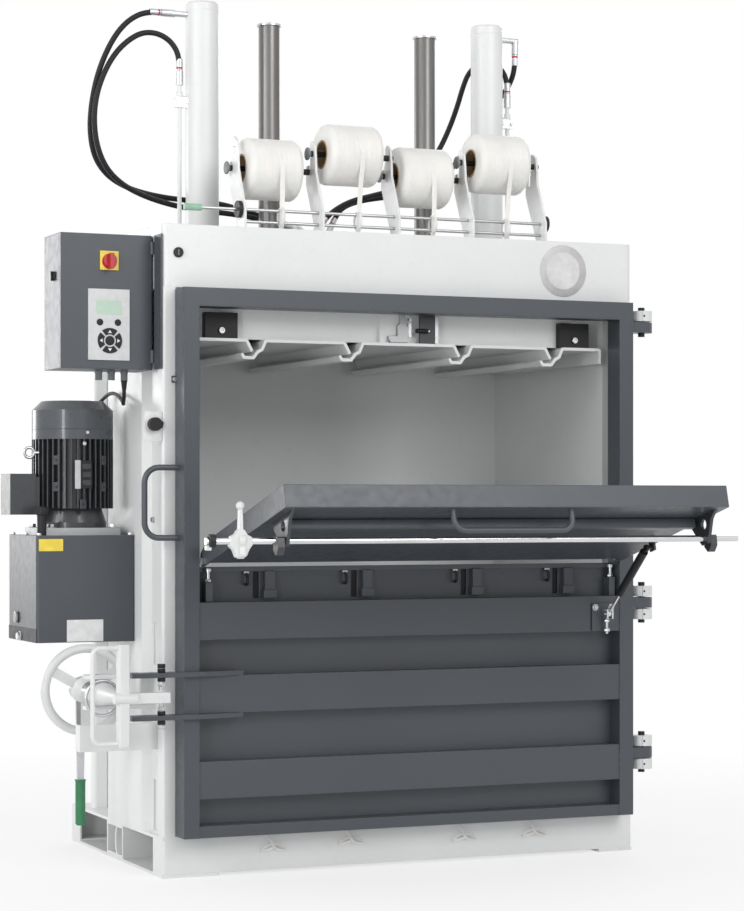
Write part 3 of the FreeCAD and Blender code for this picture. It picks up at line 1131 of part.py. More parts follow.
def flap_pivots():
    """A pin and its ear on each stile, for the flap to swing on."""
    pins = [cylinder(f"flap_pin_{side}", "X", span, DOOR_FRONT, "flap_axis_z", "flap_pin")
            for side, span in (("left", (f"-{DOOR_IN}", f"-{FLAP_HALF} + flap_side + 4")),
                               ("right", (f"{FLAP_HALF} - flap_side - 4", DOOR_IN)))]
    ears = []
    for side, span in (("left", (f"-{DOOR_IN}", f"-{DOOR_IN} + 6")), ("right", (f"{DOOR_IN} - 6", DOOR_IN))):
        ears.append(box(f"flap_ear_{side}", span, (f"{DOOR_FRONT} - flap_pin", f"{DOOR_FRONT} + 24"),
                        ("flap_axis_z - flap_pin", "flap_axis_z + flap_pin")))
    return [fuse(f"flap_pin_unit_{number}", pin, ear) for number, (pin, ear) in enumerate(zip(pins, ears))]


def strut_foot():
    """Ears and pin on the upper door beam that hold the foot of the strut."""
    x = (f"{STRUT_X} - strut_eye_thick / 2", f"{STRUT_X} + strut_eye_thick / 2")
    ears = [box(f"strut_ear_{number}", span, ("strut_foot_y - 10", f"{DOOR_FRONT} + beam_inset"),
                ("strut_foot_z - 14", "strut_foot_z + 12"))
            for number, span in enumerate(((f"{x[0]} - 6", f"{x[0]} - 1"), (f"{x[1]} + 1", f"{x[1]} + 6")))]
    pin = cylinder("strut_foot_pin", "X", (f"{x[0]} - 10", f"{x[1]} + 10"), "strut_foot_y", "strut_foot_z",
                   "strut_pin")
    return [fuse("strut_foot_bracket", *ears, pin)]


def strut():
    """Gas strut from the upper door beam to the flap: rod and eye below, cylinder above."""
    x = (f"{STRUT_X} - strut_eye_thick / 2", f"{STRUT_X} + strut_eye_thick / 2")
    foot = place(STRUT_X, "strut_foot_y", "strut_foot_z")
    top = place(STRUT_X, STRUT_TOP_Y, STRUT_TOP_Z)
    lean = math.degrees(math.atan2(-(top.y - foot.y), top.z - foot.z))
    span = (top - foot).Length
    eye, thick = length("strut_eye"), length("strut_eye_thick")
    pin = length("strut_pin") + length("running")
    along = FreeCAD.Placement(foot, FreeCAD.Rotation(V(1, 0, 0), lean))

    def eye_ring(height):
        ring = Part.makeCylinder(eye, thick, V(-thick / 2, 0, height), V(1, 0, 0))
        return ring, Part.makeCylinder(pin, thick, V(-thick / 2, 0, height), V(1, 0, 0))

    rod_radius, body_radius = length("strut_rod"), length("strut_radius")
    body_length, lap = length("strut_cylinder"), length("strut_lap")
    cylinder_low = span - eye - length("strut_neck_length") - body_length
    ring, hole = eye_ring(0)
    rod_length = cylinder_low + length("strut_inside") - eye + lap
    rod = Part.makeCylinder(rod_radius, rod_length, V(0, 0, eye - lap)).fuse(ring).cut(hole)
    lower = doc.addObject("Part::Feature", "strut_rod_eye")
    lower.Shape = rod.removeSplitter()
    lower.Placement = along
    ring, hole = eye_ring(span)
    body = Part.makeCylinder(body_radius, body_length, V(0, 0, cylinder_low))
    neck = Part.makeCylinder(length("strut_neck"), length("strut_neck_length") + 2 * lap,
                             V(0, 0, cylinder_low + body_length - lap))
    bore = Part.makeCylinder(rod_radius + length("running"),
                             length("strut_inside") + length("strut_end_room"),
                             V(0, 0, cylinder_low - lap))
    upper = doc.addObject("Part::Feature", "strut_tube")
    upper.Shape = body.fuse([neck, ring]).cut([bore, hole]).removeSplitter()
    upper.Placement = along
    node(lower).Label = "strut_rod"
    node(upper).Label = "strut_cylinder"


def lock_part(name, item):
    """A piece of the lock, drawn about its spindle and its upright pivot."""
    whole = group(name, item)
    return node(bind(whole, x="lock_x", y="lock_pivot_y", z="lock_z"))


def lock():
    """Screw lock: clamp bar with grab loop, spindle in a pivoting nut, hand wheel, lever."""
    bar_y = ("lock_bar_front - lock_pivot_y", "lock_bar_front + lock_bar_depth - lock_pivot_y")
    half = "lock_bar_width / 2"
    low, high = "(lock_bar_low - lock_z)", "(lock_bar_high - lock_z)"
    bar = profile("clamp_upright", "XY",
                  [(f"-{half}", bar_y[0]), (half, bar_y[0]), (half, bar_y[1]), (f"-{half}", bar_y[1])],
                  (low, high), (0, 1), "5")
    tongue = profile("clamp_tongue", "YZ",
                     [(bar_y[0], "-lock_tongue_height / 2"), (bar_y[1], "-lock_tongue_height / 2"),
                      (bar_y[1], "lock_tongue_height / 2"), (bar_y[0], "lock_tongue_height / 2")],
                     ("0", f"{half} + lock_tongue"))
    boss = cylinder("clamp_boss", "X", ("-26", "34"), f"{bar_y[0]} + 6", "0", "13")
    loop_y = "(lock_bar_front + lock_bar_depth / 2 - lock_pivot_y)"
    loop = bent_bar("clamp_loop", [place("0", loop_y, f"{high} - 8"),
                                   place("-lock_loop", loop_y, f"{high} - 8"),
                                   place("-lock_loop", loop_y, f"{low} + 8"), place("0", loop_y, f"{low} + 8")],
                    "lock_loop_radius", "20")
    lock_part("lock_clamp_bar", fuse("clamp_welded", bar, tongue, boss, loop))
    nut = cylinder("nut_barrel", "Y", "0", ("-nut_length / 2", "nut_length / 2"), "0", "nut_radius")
    post = cylinder("nut_post", "Z", "0", "0", ("-carrier_plate_gap / 2 - carrier_plate",
                                                "carrier_plate_gap / 2 + carrier_plate"), "12")
    spindle = cylinder("lock_screw", "Y", "0", (bar_y[1], "ratchet_y + ratchet_thick + 22 - lock_pivot_y"),
                       "0", "spindle_lock")
    lock_part("lock_spindle", fuse("spindle_unit", nut, post, spindle))
    wheel_at = "(wheel_y - lock_pivot_y)"
    rim = doc.addObject("Part::Torus", "wheel_rim_ring")
    rim.Placement.Rotation = TURN["Y"]
    bind(rim, Radius1="wheel_radius", Radius2="wheel_rim", y=wheel_at)
    hub = turned("wheel_hub_turned", "Y",
                 [("0", "-26"), ("14", "-26"), ("20", "-18"), ("wheel_hub - 6", "-12"), ("wheel_hub", "-6"),
                  ("wheel_hub", "wheel_hub_length / 2"), ("0", "wheel_hub_length / 2")], ("0", wheel_at, "0"))
    spokes = []
    for number in range(3):
        spoke = profile(f"wheel_spoke_{number}", "XY",
                        [("-13", "-5"), ("13", "-5"), ("9", "5"), ("-9", "5")], ("0", "wheel_radius"))
        holder = group(f"wheel_spoke_set_{number}", spoke)
        holder.Placement.Rotation = FreeCAD.Rotation(V(0, 1, 0), 60 + 120 * number)
        spokes.append(bind(holder, y=wheel_at))
    wheel_blank = fuse("wheel_blank", rim, hub, *spokes)
    lock_part("lock_hand_wheel", cut("wheel_bored", wheel_blank,
                                     cylinder("wheel_bore", "Y", "0",
                                              (f"{wheel_at} - 30", f"{wheel_at} + 60"), "0",
                                              "spindle_lock + running")))
    ratchet_at = ("ratchet_y - lock_pivot_y", "ratchet_y + ratchet_thick - lock_pivot_y")
    disc = cylinder("ratchet_disc", "Y", "0", ratchet_at, "0", "ratchet_hub")
    blade = profile("ratchet_blade", "XZ",
                    [("-ratchet_width / 2", "0"), ("-ratchet_width / 3", "-ratchet_length"),
                     ("ratchet_width / 3", "-ratchet_length"), ("ratchet_width / 2", "0")], ratchet_at)
    blade = cut("ratchet_cut", fuse("ratchet_blank", disc, blade),
                cylinder("ratchet_bore", "Y", "0", (f"{ratchet_at[0]} - 1", f"{ratchet_at[1]} + 1"), "0",
                         "spindle_lock + running"))
    grip_y = "(ratchet_y + ratchet_thick / 2 - lock_pivot_y)"
    grip = turned("lever_grip", "Z",
                  [("0", "0"), ("grip_radius - 3", "0"), ("grip_radius", "5"),
                   ("grip_radius", "grip_length - 6"),
                   ("grip_radius + 2", "grip_length"), ("0", "grip_length")],
                  ("0", grip_y, "-ratchet_length - grip_length"))
    lock_part("lock_ratchet_lever", group("ratchet_with_grip", blade, grip))
    plates = []
    for number, z in enumerate((("-carrier_plate_gap / 2 - carrier_plate", "-carrier_plate_gap / 2"),
                                ("carrier_plate_gap / 2", "carrier_plate_gap / 2 + carrier_plate"))):
        plate = profile(f"lock_carrier_plate_{number}", "XY",
                        [("lock_x - 30", "lock_pivot_y - 30"),
                         (f"-{HALF} + recess_depth", "lock_pivot_y - 30"),
                         (f"-{HALF} + recess_depth", "lock_pivot_y"), (f"-{HALF}", "lock_pivot_y + 34"),
                         (f"-{HALF}", "lock_pivot_y + 46"), ("lock_x - 30", "lock_pivot_y + 22")],
                        (f"lock_z + {z[0]}", f"lock_z + {z[1]}"), (0, 5), "20")
        plates.append(cut(f"lock_carrier_{number}", plate,
                          cylinder(f"lock_carrier_bore_{number}", "Z", "lock_x", "lock_pivot_y",
                                   (f"lock_z + {z[0]} - 1", f"lock_z + {z[1]} + 1"), "12 + running")))
    strap = folded("lock_guard_strap", "XY",
                   [(f"-{HALF} + recess_depth", "panel_front - 78"), ("lock_x - 62", "panel_front - 78"),
                    ("lock_x - 62", "panel_front - 40")], "8", ("lock_bar_low - 25", "lock_bar_low + 42"))
    node(group("lock_brackets", *plates, strap))


def cabinet():
    """Sheet steel control cabinet, its door with key panel, and the main switch."""
    right = f"-{HALF}"
    leaf_back = "(cabinet_front + cabinet_leaf)"
    case = box("cabinet_block", ("cabinet_left", right), (f"{leaf_back} + running", "cabinet_back"),
               ("cabinet_low", "cabinet_top"))
    room = box("cabinet_room", ("cabinet_left + cabinet_sheet", f"{right} - cabinet_sheet"),
               (f"{leaf_back} + running - 1", "cabinet_back - cabinet_sheet"),
               ("cabinet_low + cabinet_sheet", "cabinet_top - cabinet_sheet"))
    node(cut("control_cabinet", case, room))
    leaf = box("leaf_block", ("cabinet_left", "cabinet_hinge_x"), ("cabinet_front", leaf_back),
               ("cabinet_low", "cabinet_top"))
    leaf_room = box("leaf_room", ("cabinet_left + cabinet_sheet", "cabinet_hinge_x - cabinet_sheet"),
                    ("cabinet_front + cabinet_sheet", f"{leaf_back} + 1"),
                    ("cabinet_low + cabinet_sheet", "cabinet_top - cabinet_sheet"))
    switch_bore = cylinder("leaf_switch_bore", "Y", "switch_x", ("cabinet_front - 1", f"{leaf_back}"),
                           "switch_z", "7")
    hinges = [cylinder(f"leaf_hinge_{name}", "Z", "cabinet_hinge_x", "cabinet_hinge_y",
                       (low, f"{low} + 32"), "6")
              for name, low in (("low", "cabinet_hinge_low"), ("high", "cabinet_hinge_high"))]
    node(fuse("cabinet_door", cut("leaf_pan", leaf, leaf_room, switch_bore), *hinges))
    keys = box("cabinet_key_panel", ("keypad_left", "keypad_right"), ("cabinet_front - 4", "cabinet_front"),
               ("keypad_low", "keypad_high"))
    plate = box("switch_plate_block", ("switch_x - switch_plate / 2", "switch_x + switch_plate / 2"),
                ("cabinet_front - 5", "cabinet_front"), ("switch_z - switch_plate / 2",
                                                         "switch_z + switch_plate / 2"))
    plate = cut("main_switch_plate", plate,
                cylinder("switch_plate_bore", "Y", "switch_x", ("cabinet_front - 6", "cabinet_front + 1"),
                         "switch_z", "7"))
    node(group("cabinet_panels", keys, plate))
    shaft = cylinder("switch_shaft", "Y", "switch_x", ("cabinet_front - 7", "cabinet_front + 6"),
                     "switch_z", "7 - running")
    disc = cylinder("switch_disc", "Y", "switch_x", ("cabinet_front - 14", "cabinet_front - 5 - running"),
                    "switch_z", "knob_disc")
    bar = box("switch_bar", ("switch_x - 5", "switch_x + 5"), ("cabinet_front - 30", "cabinet_front - 14"),
              ("switch_z - knob_disc - 5", "switch_z + knob_disc"))
    node(fuse("main_switch_knob", shaft, disc, bar))
    cover = box("cabinet_side_cover", (f"{right} - 4", right), (FRONT, "cabinet_hinge_y - 8"),
                ("cabinet_low", "cabinet_top"))
    glands = [cylinder(f"gland_{number}", "Z", f"{right} - {52 + 34 * number}", "cabinet_back - 60",
                       ("cabinet_low - 24", "cabinet_low"), "9") for number in range(3)]
    node(group("cabinet_fittings", cover, *glands))


def power_pack():
    """Oil tank, pump flange, finned motor with fan and cover, terminal box, filler, eye."""
    right = f"-{HALF}"
    block = profile("tank_block", "XY",
                    [("tank_left", "tank_front"), (right, "tank_front"), (right, "tank_back"),
                     ("tank_left", "tank_back")],
                    ("tank_low", "tank_top"), (0, 1, 2, 3), "tank_round")
    room = box("tank_room", ("tank_left + tank_sheet", f"{right} - tank_sheet"),
               ("tank_front + tank_sheet", "tank_back - tank_sheet"),
               ("tank_low - 1", "tank_low + tank_apron - tank_sheet"))
    tank = cut("tank_shell", block, room)
    z = "tank_top"
    flange = box("flange_block", ("motor_x - flange_half", "motor_x + flange_half"),
                 ("motor_y - flange_half", "motor_y + flange_half"),
                 (z, f"{z} + flange_thick"))
    node(group("oil_tank", tank, flange))
    foot = f"({z} + flange_thick)"
    bell = turned("motor_bell", "Z",
                  [("0", "0"), ("motor_barrel", "0"), ("motor_barrel", "14"),
                   ("motor_barrel - 12", "bell_height"), ("0", "bell_height")],
                  ("motor_x", "motor_y", foot))
    barrel_foot = f"({foot} + bell_height)"
    barrel = cut("motor_barrel_tube",
                 cylinder("motor_barrel_outer", "Z", "motor_x", "motor_y",
                          (barrel_foot, f"{barrel_foot} + barrel_height"), "motor_barrel"),
                 cylinder("motor_barrel_bore", "Z", "motor_x", "motor_y",
                          (f"{barrel_foot} - 1", f"{barrel_foot} + barrel_height + 1"), "motor_bore"))
    count = int(length("motor_fins"))
    fins = []
    for number in range(count):
        fin = box(f"motor_fin_{number}", ("motor_barrel - 4", "motor_radius"),
                  ("-fin_thick / 2", "fin_thick / 2"),
                  ("0", "barrel_height"))
        holder = group(f"motor_fin_set_{number}", fin)
        holder.Placement.Rotation = FreeCAD.Rotation(V(0, 0, 1), 360 * number / count)
        fins.append(bind(holder, x="motor_x", y="motor_y", z=barrel_foot))
    node(fuse("motor_housing", bell, barrel, *fins))
    cover_foot = f"({barrel_foot} + barrel_height)"
    thick = "cover_sheet"
    cover = turned("cover_shell", "Z",
                   [("motor_bore", "0"), ("motor_radius", "0"),
                    ("motor_radius", "cover_height - cover_slope"),
                    ("motor_radius - cover_slope", "cover_height"), ("0", "cover_height"), ("0", f"cover_height - {thick}"),
                    (f"motor_radius - cover_slope - {thick} / 2", f"cover_height - {thick}"),
                    (f"motor_radius - {thick}", f"cover_height - cover_slope - {thick} / 2"),
                    (f"motor_radius - {thick}", thick), ("motor_bore", thick)],
                   ("motor_x", "motor_y", cover_foot))
    slots = []
    for number in range(12):
        slot = box(f"cover_slot_{number}", ("28", "motor_radius - cover_slope - 12"), ("-4", "4"),
                   ("0", "10"))
        holder = group(f"cover_slot_set_{number}", slot)
        holder.Placement.Rotation = FreeCAD.Rotation(V(0, 0, 1), 30 * number)
        slots.append(bind(holder, x="motor_x", y="motor_y", z=f"{cover_foot} + cover_height - 8"))
    node(cut("fan_cover", cover, *slots))
    hub = cylinder("fan_hub", "Z", "motor_x", "motor_y", (f"{cover_foot} + 20", f"{cover_foot} + 60"), "24")
    shaft = cylinder("fan_shaft", "Z", "motor_x", "motor_y",
                     (f"{barrel_foot} + running", f"{cover_foot} + 20"), "14")
    rotor = cylinder("motor_rotor", "Z", "motor_x", "motor_y",
                     (f"{barrel_foot} + 20", f"{cover_foot} - 20"), "motor_bore - 18")
    blades = []
    blade_count = int(length("fan_blades"))
    for number in range(blade_count):
        blade = box(f"fan_blade_{number}", ("20", "fan_radius"), ("-2", "2"), ("24", "56"))
        holder = group(f"fan_blade_set_{number}", blade)
        holder.Placement.Rotation = FreeCAD.Rotation(V(0, 0, 1), 360 * number / blade_count)
        blades.append(bind(holder, x="motor_x", y="motor_y", z=cover_foot))
    node(fuse("motor_rotor_fan", hub, shaft, rotor, *blades))
    neck = box("terminal_neck", ("motor_x - motor_radius - 10", "motor_x - motor_radius + 8"),
               ("motor_y - box_half + 8", "motor_y + box_half - 8"),
               ("box_low + 8", "box_high - 8"))
    case = box("terminal_case", ("box_left", "motor_x - motor_radius - 6"),
               ("motor_y - box_half", "motor_y + box_half"), ("box_low", "box_high"))
    around = cylinder("terminal_seat", "Z", "motor_x", "motor_y", ("box_low", "box_high"),
                      "motor_radius + running")
    terminal = cut("terminal_box", fuse("terminal_blank", neck, case), around)
    cap = turned("filler_cap", "Z",
                 [("0", "0"), ("12", "0"), ("12", "52"), ("18", "54"), ("18", "70"), ("15", "74"),
                  ("0", "74")],
                 ("tank_left + 22", "tank_front + 30", z))
    ring = doc.addObject("Part::Torus", "eye_ring")
    ring.Placement.Rotation = TURN["Y"]
    bind(ring, Radius1="13", Radius2="4", x="motor_x - motor_radius - 19", y="motor_y - 30",
         z=f"{barrel_foot} + 145")
    shank = cylinder("eye_shank", "X",
                     ("motor_x - motor_radius - 8",
                      "motor_x - sqrt(motor_radius ^ 2 - 900) + 3"), "motor_y - 30",
                     f"{barrel_foot} + 145", "5")
    seat = cylinder("eye_seat", "Z", "motor_x", "motor_y", (f"{barrel_foot} + 130", f"{barrel_foot} + 160"),
                    "motor_radius + running")
    eye = cut("lifting_eye", fuse("eye_blank", ring, shank), seat)
    node(group("motor_fittings", terminal, cap, eye))


def oil_lines():
    """Steel pipes, tees and ports at the cylinders, hose block, and the four hoses."""
    fixed = []
    for side, sign in (("left", "-"), ("right", "")):
        x = f"({sign}cylinder_place {'-' if sign else '+'} pipe_offset)"
        wall = f"({sign}cylinder_place {'-' if sign else '+'} cylinder_radius)"
        pipe = cylinder(f"pipe_{side}", "Z", x, "0", (HEAD_TOP, "ferrule_high"), "pipe_radius")
        tee = cylinder(f"tee_{side}", "Z", x, "0", ("tee_height - 16", "tee_height + 16"), "9")
        spans = (x, wall) if sign else (wall, x)
        branch = cylinder(f"tee_branch_{side}", "X", spans, "0", "tee_height", "6")
        crimp = cylinder(f"ferrule_low_{side}", "Z", x, "0",
                         ("ferrule_high", "ferrule_high + ferrule_length"), "ferrule_radius")
        reach = "34" if sign else "port_reach + 8"
        ends = (f"{wall} - {reach}", wall) if sign else (wall, f"{wall} + {reach}")
        port = cylinder(f"port_{side}", "X", ends, "0", PORT_HEIGHT, "8")
        if sign:
            upper = cylinder("ferrule_high_left", "X", (f"{wall} - 34 - ferrule_length", f"{wall} - 34"),
                             "0",
                             PORT_HEIGHT, "ferrule_radius")
        else:
            upper = cylinder("ferrule_high_right", "Z", f"{wall} + port_reach", "0",
                             (f"{PORT_HEIGHT} - ferrule_length", PORT_HEIGHT), "ferrule_radius")
        fixed.append(fuse(f"oil_pipe_{side}", pipe, tee, branch, crimp, port, upper))
    block = box("manifold_block", ("manifold_left", "manifold_right"),
                ("manifold_y - 25", "manifold_y + 25"),
                (HEAD_TOP, f"{HEAD_TOP} + manifold_height"))
    fittings = []
    for name, points in HOSES:
        node(hose(name, points, "hose_radius"))
        end, before = V(*points[-1]), V(*points[-2])
        corner = end + (end - before).normalize() * length("fitting_leg")
        foot = V(corner.x, corner.y, length(f"{HEAD_TOP} + manifold_height") - 1)
        fittings.append(bent_bar(f"fitting_{name}", [foot, corner, end], "fitting_radius",
                                 "fitting_radius + 2"))
    node(group("oil_pipes", *fixed, fuse("hose_block", block, *fittings)))


# middle lines of the hoses, from the cylinders to the hose block
HOSES = [
    ("hose_left_upper", [
        (-543, 0, 2259), (-580, 0, 2259), (-622, 3, 2241), (-659, 8, 2205), (-690, 14, 2150), (-714, 20, 2085),
        (-728, 27, 2012), (-731, 36, 1940), (-716, 48, 1872), (-680, 58, 1826), (-630, 68, 1799), (-568, 80, 1783),
        (-490, 92, 1774), (-403, 100, 1771), (-330, 98, 1766), (-272, 96, 1750), (-218, 86, 1736),
        (-178, 73, 1723), (-140, 57, 1708)]),
    ("hose_left_lower", [
        (-491, 0, 2106), (-491, 0, 2145), (-512, 2, 2183), (-549, 4, 2204), (-592, 6, 2204), (-630, 8, 2182),
        (-661, 9, 2145), (-688, 10, 2092), (-708, 11, 2030), (-714, 13, 1962), (-704, 18, 1892), (-676, 26, 1834),
        (-632, 36, 1795), (-572, 44, 1769), (-488, 55, 1750), (-392, 66, 1741), (-316, 68, 1737),
        (-262, 62, 1730), (-218, 50, 1719), (-174, 33, 1707)]),
    ("hose_right_upper", [
        (515, 0, 2221), (515, 0, 2186), (513, 16, 2151), (506, 46, 2120), (494, 82, 2092), (476, 112, 2058),
        (452, 134, 2010), (424, 148, 1958), (390, 154, 1908), (344, 154, 1866), (284, 148, 1838), (214, 138, 1820),
        (140, 124, 1808), (72, 106, 1794), (18, 84, 1772), (-12, 62, 1742), (-33, 43, 1711)]),
    ("hose_right_lower", [
        (491, 0, 2106), (491, 0, 2145), (481, 19, 2183), (464, 52, 2204), (444, 90, 2204), (427, 122, 2182),
        (416, 138, 2140), (400, 140, 2085), (372, 134, 2020), (338, 126, 1958), (296, 116, 1902), (242, 104, 1858),
        (176, 90, 1828), (106, 76, 1808), (40, 64, 1790), (-10, 56, 1765), (-44, 49, 1738), (-67, 43, 1711)]),
]

# middle line of the cable from the cabinet to the terminal box
MOTOR_CABLE = [
    (-724, -243, 1259), (-724, -243, 1226), (-717, -216, 1203), (-704, -176, 1200), (-693, -128, 1213),
    (-688, -74, 1230), (-688, -14, 1238), (-694, 44, 1222), (-712, 92, 1180), (-742, 122, 1122), (-784, 136, 1066),
    (-836, 132, 1020), (-888, 110, 988), (-928, 72, 972), (-945, 38, 968), (-945, 8, 968),
]


def safety_switch():
    """Plate with a knob on the front column, beside the door."""
    plate = box("sensor_plate_block", ("sensor_left", f"-{HALF}"), (f"{FRONT} + 2", f"{FRONT} + 6"),
                ("sensor_low", "sensor_high"))
    knob = cylinder("sensor_knob_disc", "Y", "sensor_left + 24", (f"{FRONT} - 16", f"{FRONT} + 2"),
                    "sensor_high - 32", "sensor_knob")
    node(fuse("safety_switch", plate, knob))


base()
chamber()
head()
cylinders()
ram()
strapping()
door()
door_hinges()
flap()
latch()
strut()
lock()
cabinet()
power_pack()
oil_lines()
node(hose("motor_cable", MOTOR_CABLE, "cable_radius"))
safety_switch()
doc.recompute()

for item in doc.Objects:
    if "Invalid" in item.State or "Error" in item.State:
        raise RuntimeError(f"{item.Name}: {item.State}")
os.makedirs("parts", exist_ok=True)
for item in NODES:
    if item.Shape.isNull() or not item.Shape.isValid():
        raise RuntimeError(f"{item.Label}: empty or broken solid")
    item.Shape.exportStep(f"parts/{item.Label}.step")
print(len(NODES), "sub-parts")
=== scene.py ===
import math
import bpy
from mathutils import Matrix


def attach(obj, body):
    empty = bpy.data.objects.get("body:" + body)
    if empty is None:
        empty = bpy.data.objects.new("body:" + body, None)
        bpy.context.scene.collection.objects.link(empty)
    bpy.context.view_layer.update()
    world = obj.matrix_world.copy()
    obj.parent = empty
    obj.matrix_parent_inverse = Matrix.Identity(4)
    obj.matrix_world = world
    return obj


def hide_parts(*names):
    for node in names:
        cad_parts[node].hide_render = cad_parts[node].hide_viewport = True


bl_info = {
    "name": "Upright recycling baler",
    "version": (1, 0, 0),
    "blender": (4, 5, 0),
    "location": "3D View > Sidebar > Baler",
    "description": "Dresses the packed baler with paint, hoses, strapping, fasteners and a stage",
    "category": "Object",
}

from itertools import product

import bmesh
import bpy
from mathutils import Vector

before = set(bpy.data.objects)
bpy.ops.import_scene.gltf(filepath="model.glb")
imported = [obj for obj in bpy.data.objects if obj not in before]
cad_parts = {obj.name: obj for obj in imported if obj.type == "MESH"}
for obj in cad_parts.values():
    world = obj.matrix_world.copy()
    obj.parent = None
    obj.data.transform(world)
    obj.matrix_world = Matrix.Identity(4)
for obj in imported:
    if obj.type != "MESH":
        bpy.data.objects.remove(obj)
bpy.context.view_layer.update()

MM = 0.001
LEFT, RIGHT = (-1, 0, 0), (1, 0, 0)
FRONT, BACK = (0, -1, 0), (0, 1, 0)
UP, DOWN = (0, 0, 1), (0, 0, -1)

# centre lines of the oil hoses, in metres
OIL_HOSES = {
    "hose_left_upper": (
        (-0.543, 0, 2.259), (-0.58, 0, 2.259), (-0.622, 0.003, 2.241), (-0.659, 0.008, 2.205),
        (-0.69, 0.014, 2.15), (-0.714, 0.02, 2.085), (-0.728, 0.027, 2.012), (-0.731, 0.036, 1.94),
        (-0.716, 0.048, 1.872), (-0.68, 0.058, 1.826), (-0.63, 0.068, 1.799), (-0.568, 0.08, 1.783),
        (-0.49, 0.092, 1.774), (-0.403, 0.1, 1.771), (-0.33, 0.098, 1.766), (-0.272, 0.096, 1.75),
        (-0.218, 0.086, 1.736), (-0.178, 0.073, 1.723), (-0.14, 0.057, 1.708),
    ),
    "hose_left_lower": (
        (-0.491, 0, 2.106), (-0.491, 0, 2.145), (-0.512, 0.002, 2.183), (-0.549, 0.004, 2.204),
        (-0.592, 0.006, 2.204), (-0.63, 0.008, 2.182), (-0.668, 0.005, 2.145), (-0.7, 0.002, 2.092),
        (-0.722, 0.003, 2.03), (-0.729, 0.005, 1.962), (-0.718, 0.012, 1.892),
        (-0.688, 0.022, 1.834), (-0.638, 0.034, 1.795), (-0.572, 0.044, 1.769),
        (-0.488, 0.055, 1.75), (-0.392, 0.066, 1.741), (-0.316, 0.068, 1.737),
        (-0.262, 0.062, 1.73), (-0.218, 0.05, 1.719), (-0.174, 0.033, 1.707),
    ),
    "hose_right_upper": (
        (0.515, 0, 2.221), (0.515, 0, 2.186), (0.513, 0.016, 2.151), (0.506, 0.046, 2.12),
        (0.494, 0.082, 2.092), (0.476, 0.112, 2.058), (0.452, 0.134, 2.01), (0.424, 0.148, 1.958),
        (0.39, 0.154, 1.908), (0.344, 0.154, 1.866), (0.284, 0.148, 1.838), (0.214, 0.138, 1.82),
        (0.14, 0.124, 1.808), (0.072, 0.106, 1.794), (0.018, 0.084, 1.772), (-0.012, 0.062, 1.742),
        (-0.033, 0.043, 1.711),
    ),
    "hose_right_lower": (
        (0.491, 0, 2.106), (0.491, 0, 2.145), (0.481, 0.019, 2.183), (0.464, 0.052, 2.204),
        (0.444, 0.09, 2.204), (0.427, 0.122, 2.182), (0.416, 0.138, 2.14), (0.4, 0.14, 2.085),
        (0.372, 0.134, 2.02), (0.338, 0.126, 1.958), (0.296, 0.116, 1.902), (0.242, 0.104, 1.858),
        (0.176, 0.09, 1.828), (0.106, 0.076, 1.808), (0.04, 0.064, 1.79), (-0.01, 0.056, 1.765),
        (-0.044, 0.049, 1.738), (-0.067, 0.043, 1.711),
    ),
}
MOTOR_CABLE = (
    (-0.724, -0.243, 1.259), (-0.724, -0.243, 1.226), (-0.717, -0.216, 1.203),
    (-0.704, -0.176, 1.2), (-0.693, -0.128, 1.213), (-0.688, -0.074, 1.23),
    (-0.688, -0.014, 1.238), (-0.694, 0.044, 1.222), (-0.712, 0.092, 1.18), (-0.742, 0.122, 1.122),
    (-0.784, 0.136, 1.066), (-0.836, 0.132, 1.02), (-0.888, 0.11, 0.988), (-0.928, 0.072, 0.972),
    (-0.945, 0.038, 0.968), (-0.945, 0.008, 0.968),
)


def length(name, description, default):
    """A size in metres."""
    return bpy.props.FloatProperty(name=name, description=description, default=default,
                                   unit="LENGTH")


def tint(name, description, *default):
    """A colour in linear light."""
    return bpy.props.FloatVectorProperty(name=name, description=description, default=default,
        subtype="COLOR", size=3)


class BalerSizes(bpy.types.PropertyGroup):
    """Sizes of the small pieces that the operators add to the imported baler."""

    strap_width: length("Strap width", "Width of the woven baling strap", 0.013)
    strap_thick: length("Strap thickness", "Thickness of the woven baling strap", 0.0009)
    thread_pitch: length("Thread pitch", "Pitch of the lock spindle's thread", 0.005)
    key_ring: length("Key ring", "Outer radius of the ring of arrow keys", 0.032)
    edge_round: length("Edge rounding", "Radius at which painted edges catch the light", 0.0016)


class BalerColours(bpy.types.PropertyGroup):
    """Colours of the finishes, as they render in plain light."""

    white_paint: tint("White paint", "Frame, head, ram and lock", 0.80, 0.81, 0.81)
    grey_paint: tint("Grey paint", "Door, flap, cabinet and tank", 0.064, 0.072, 0.083)
    strap: tint("Strap", "Woven baling strap", 0.88, 0.87, 0.84)
    grip: tint("Grips", "Plastic grips of the levers", 0.032, 0.19, 0.08)
    switch_plate: tint("Switch plate", "Plate behind the main switch", 0.84, 0.65, 0.075)
    switch_knob: tint("Switch knob", "Knob of the main switch", 0.5, 0.02, 0.03)
    hose: tint("Hoses", "Rubber of the oil hoses", 0.009, 0.009, 0.011)


def sizes():
    return bpy.context.scene.baler_sizes


def colours():
    return bpy.context.scene.baler_colours


def shade(colour, share):
    """A colour made darker or lighter by that share."""
    return tuple(min(1.0, part * share) for part in colour[:3]) + (1.0,)


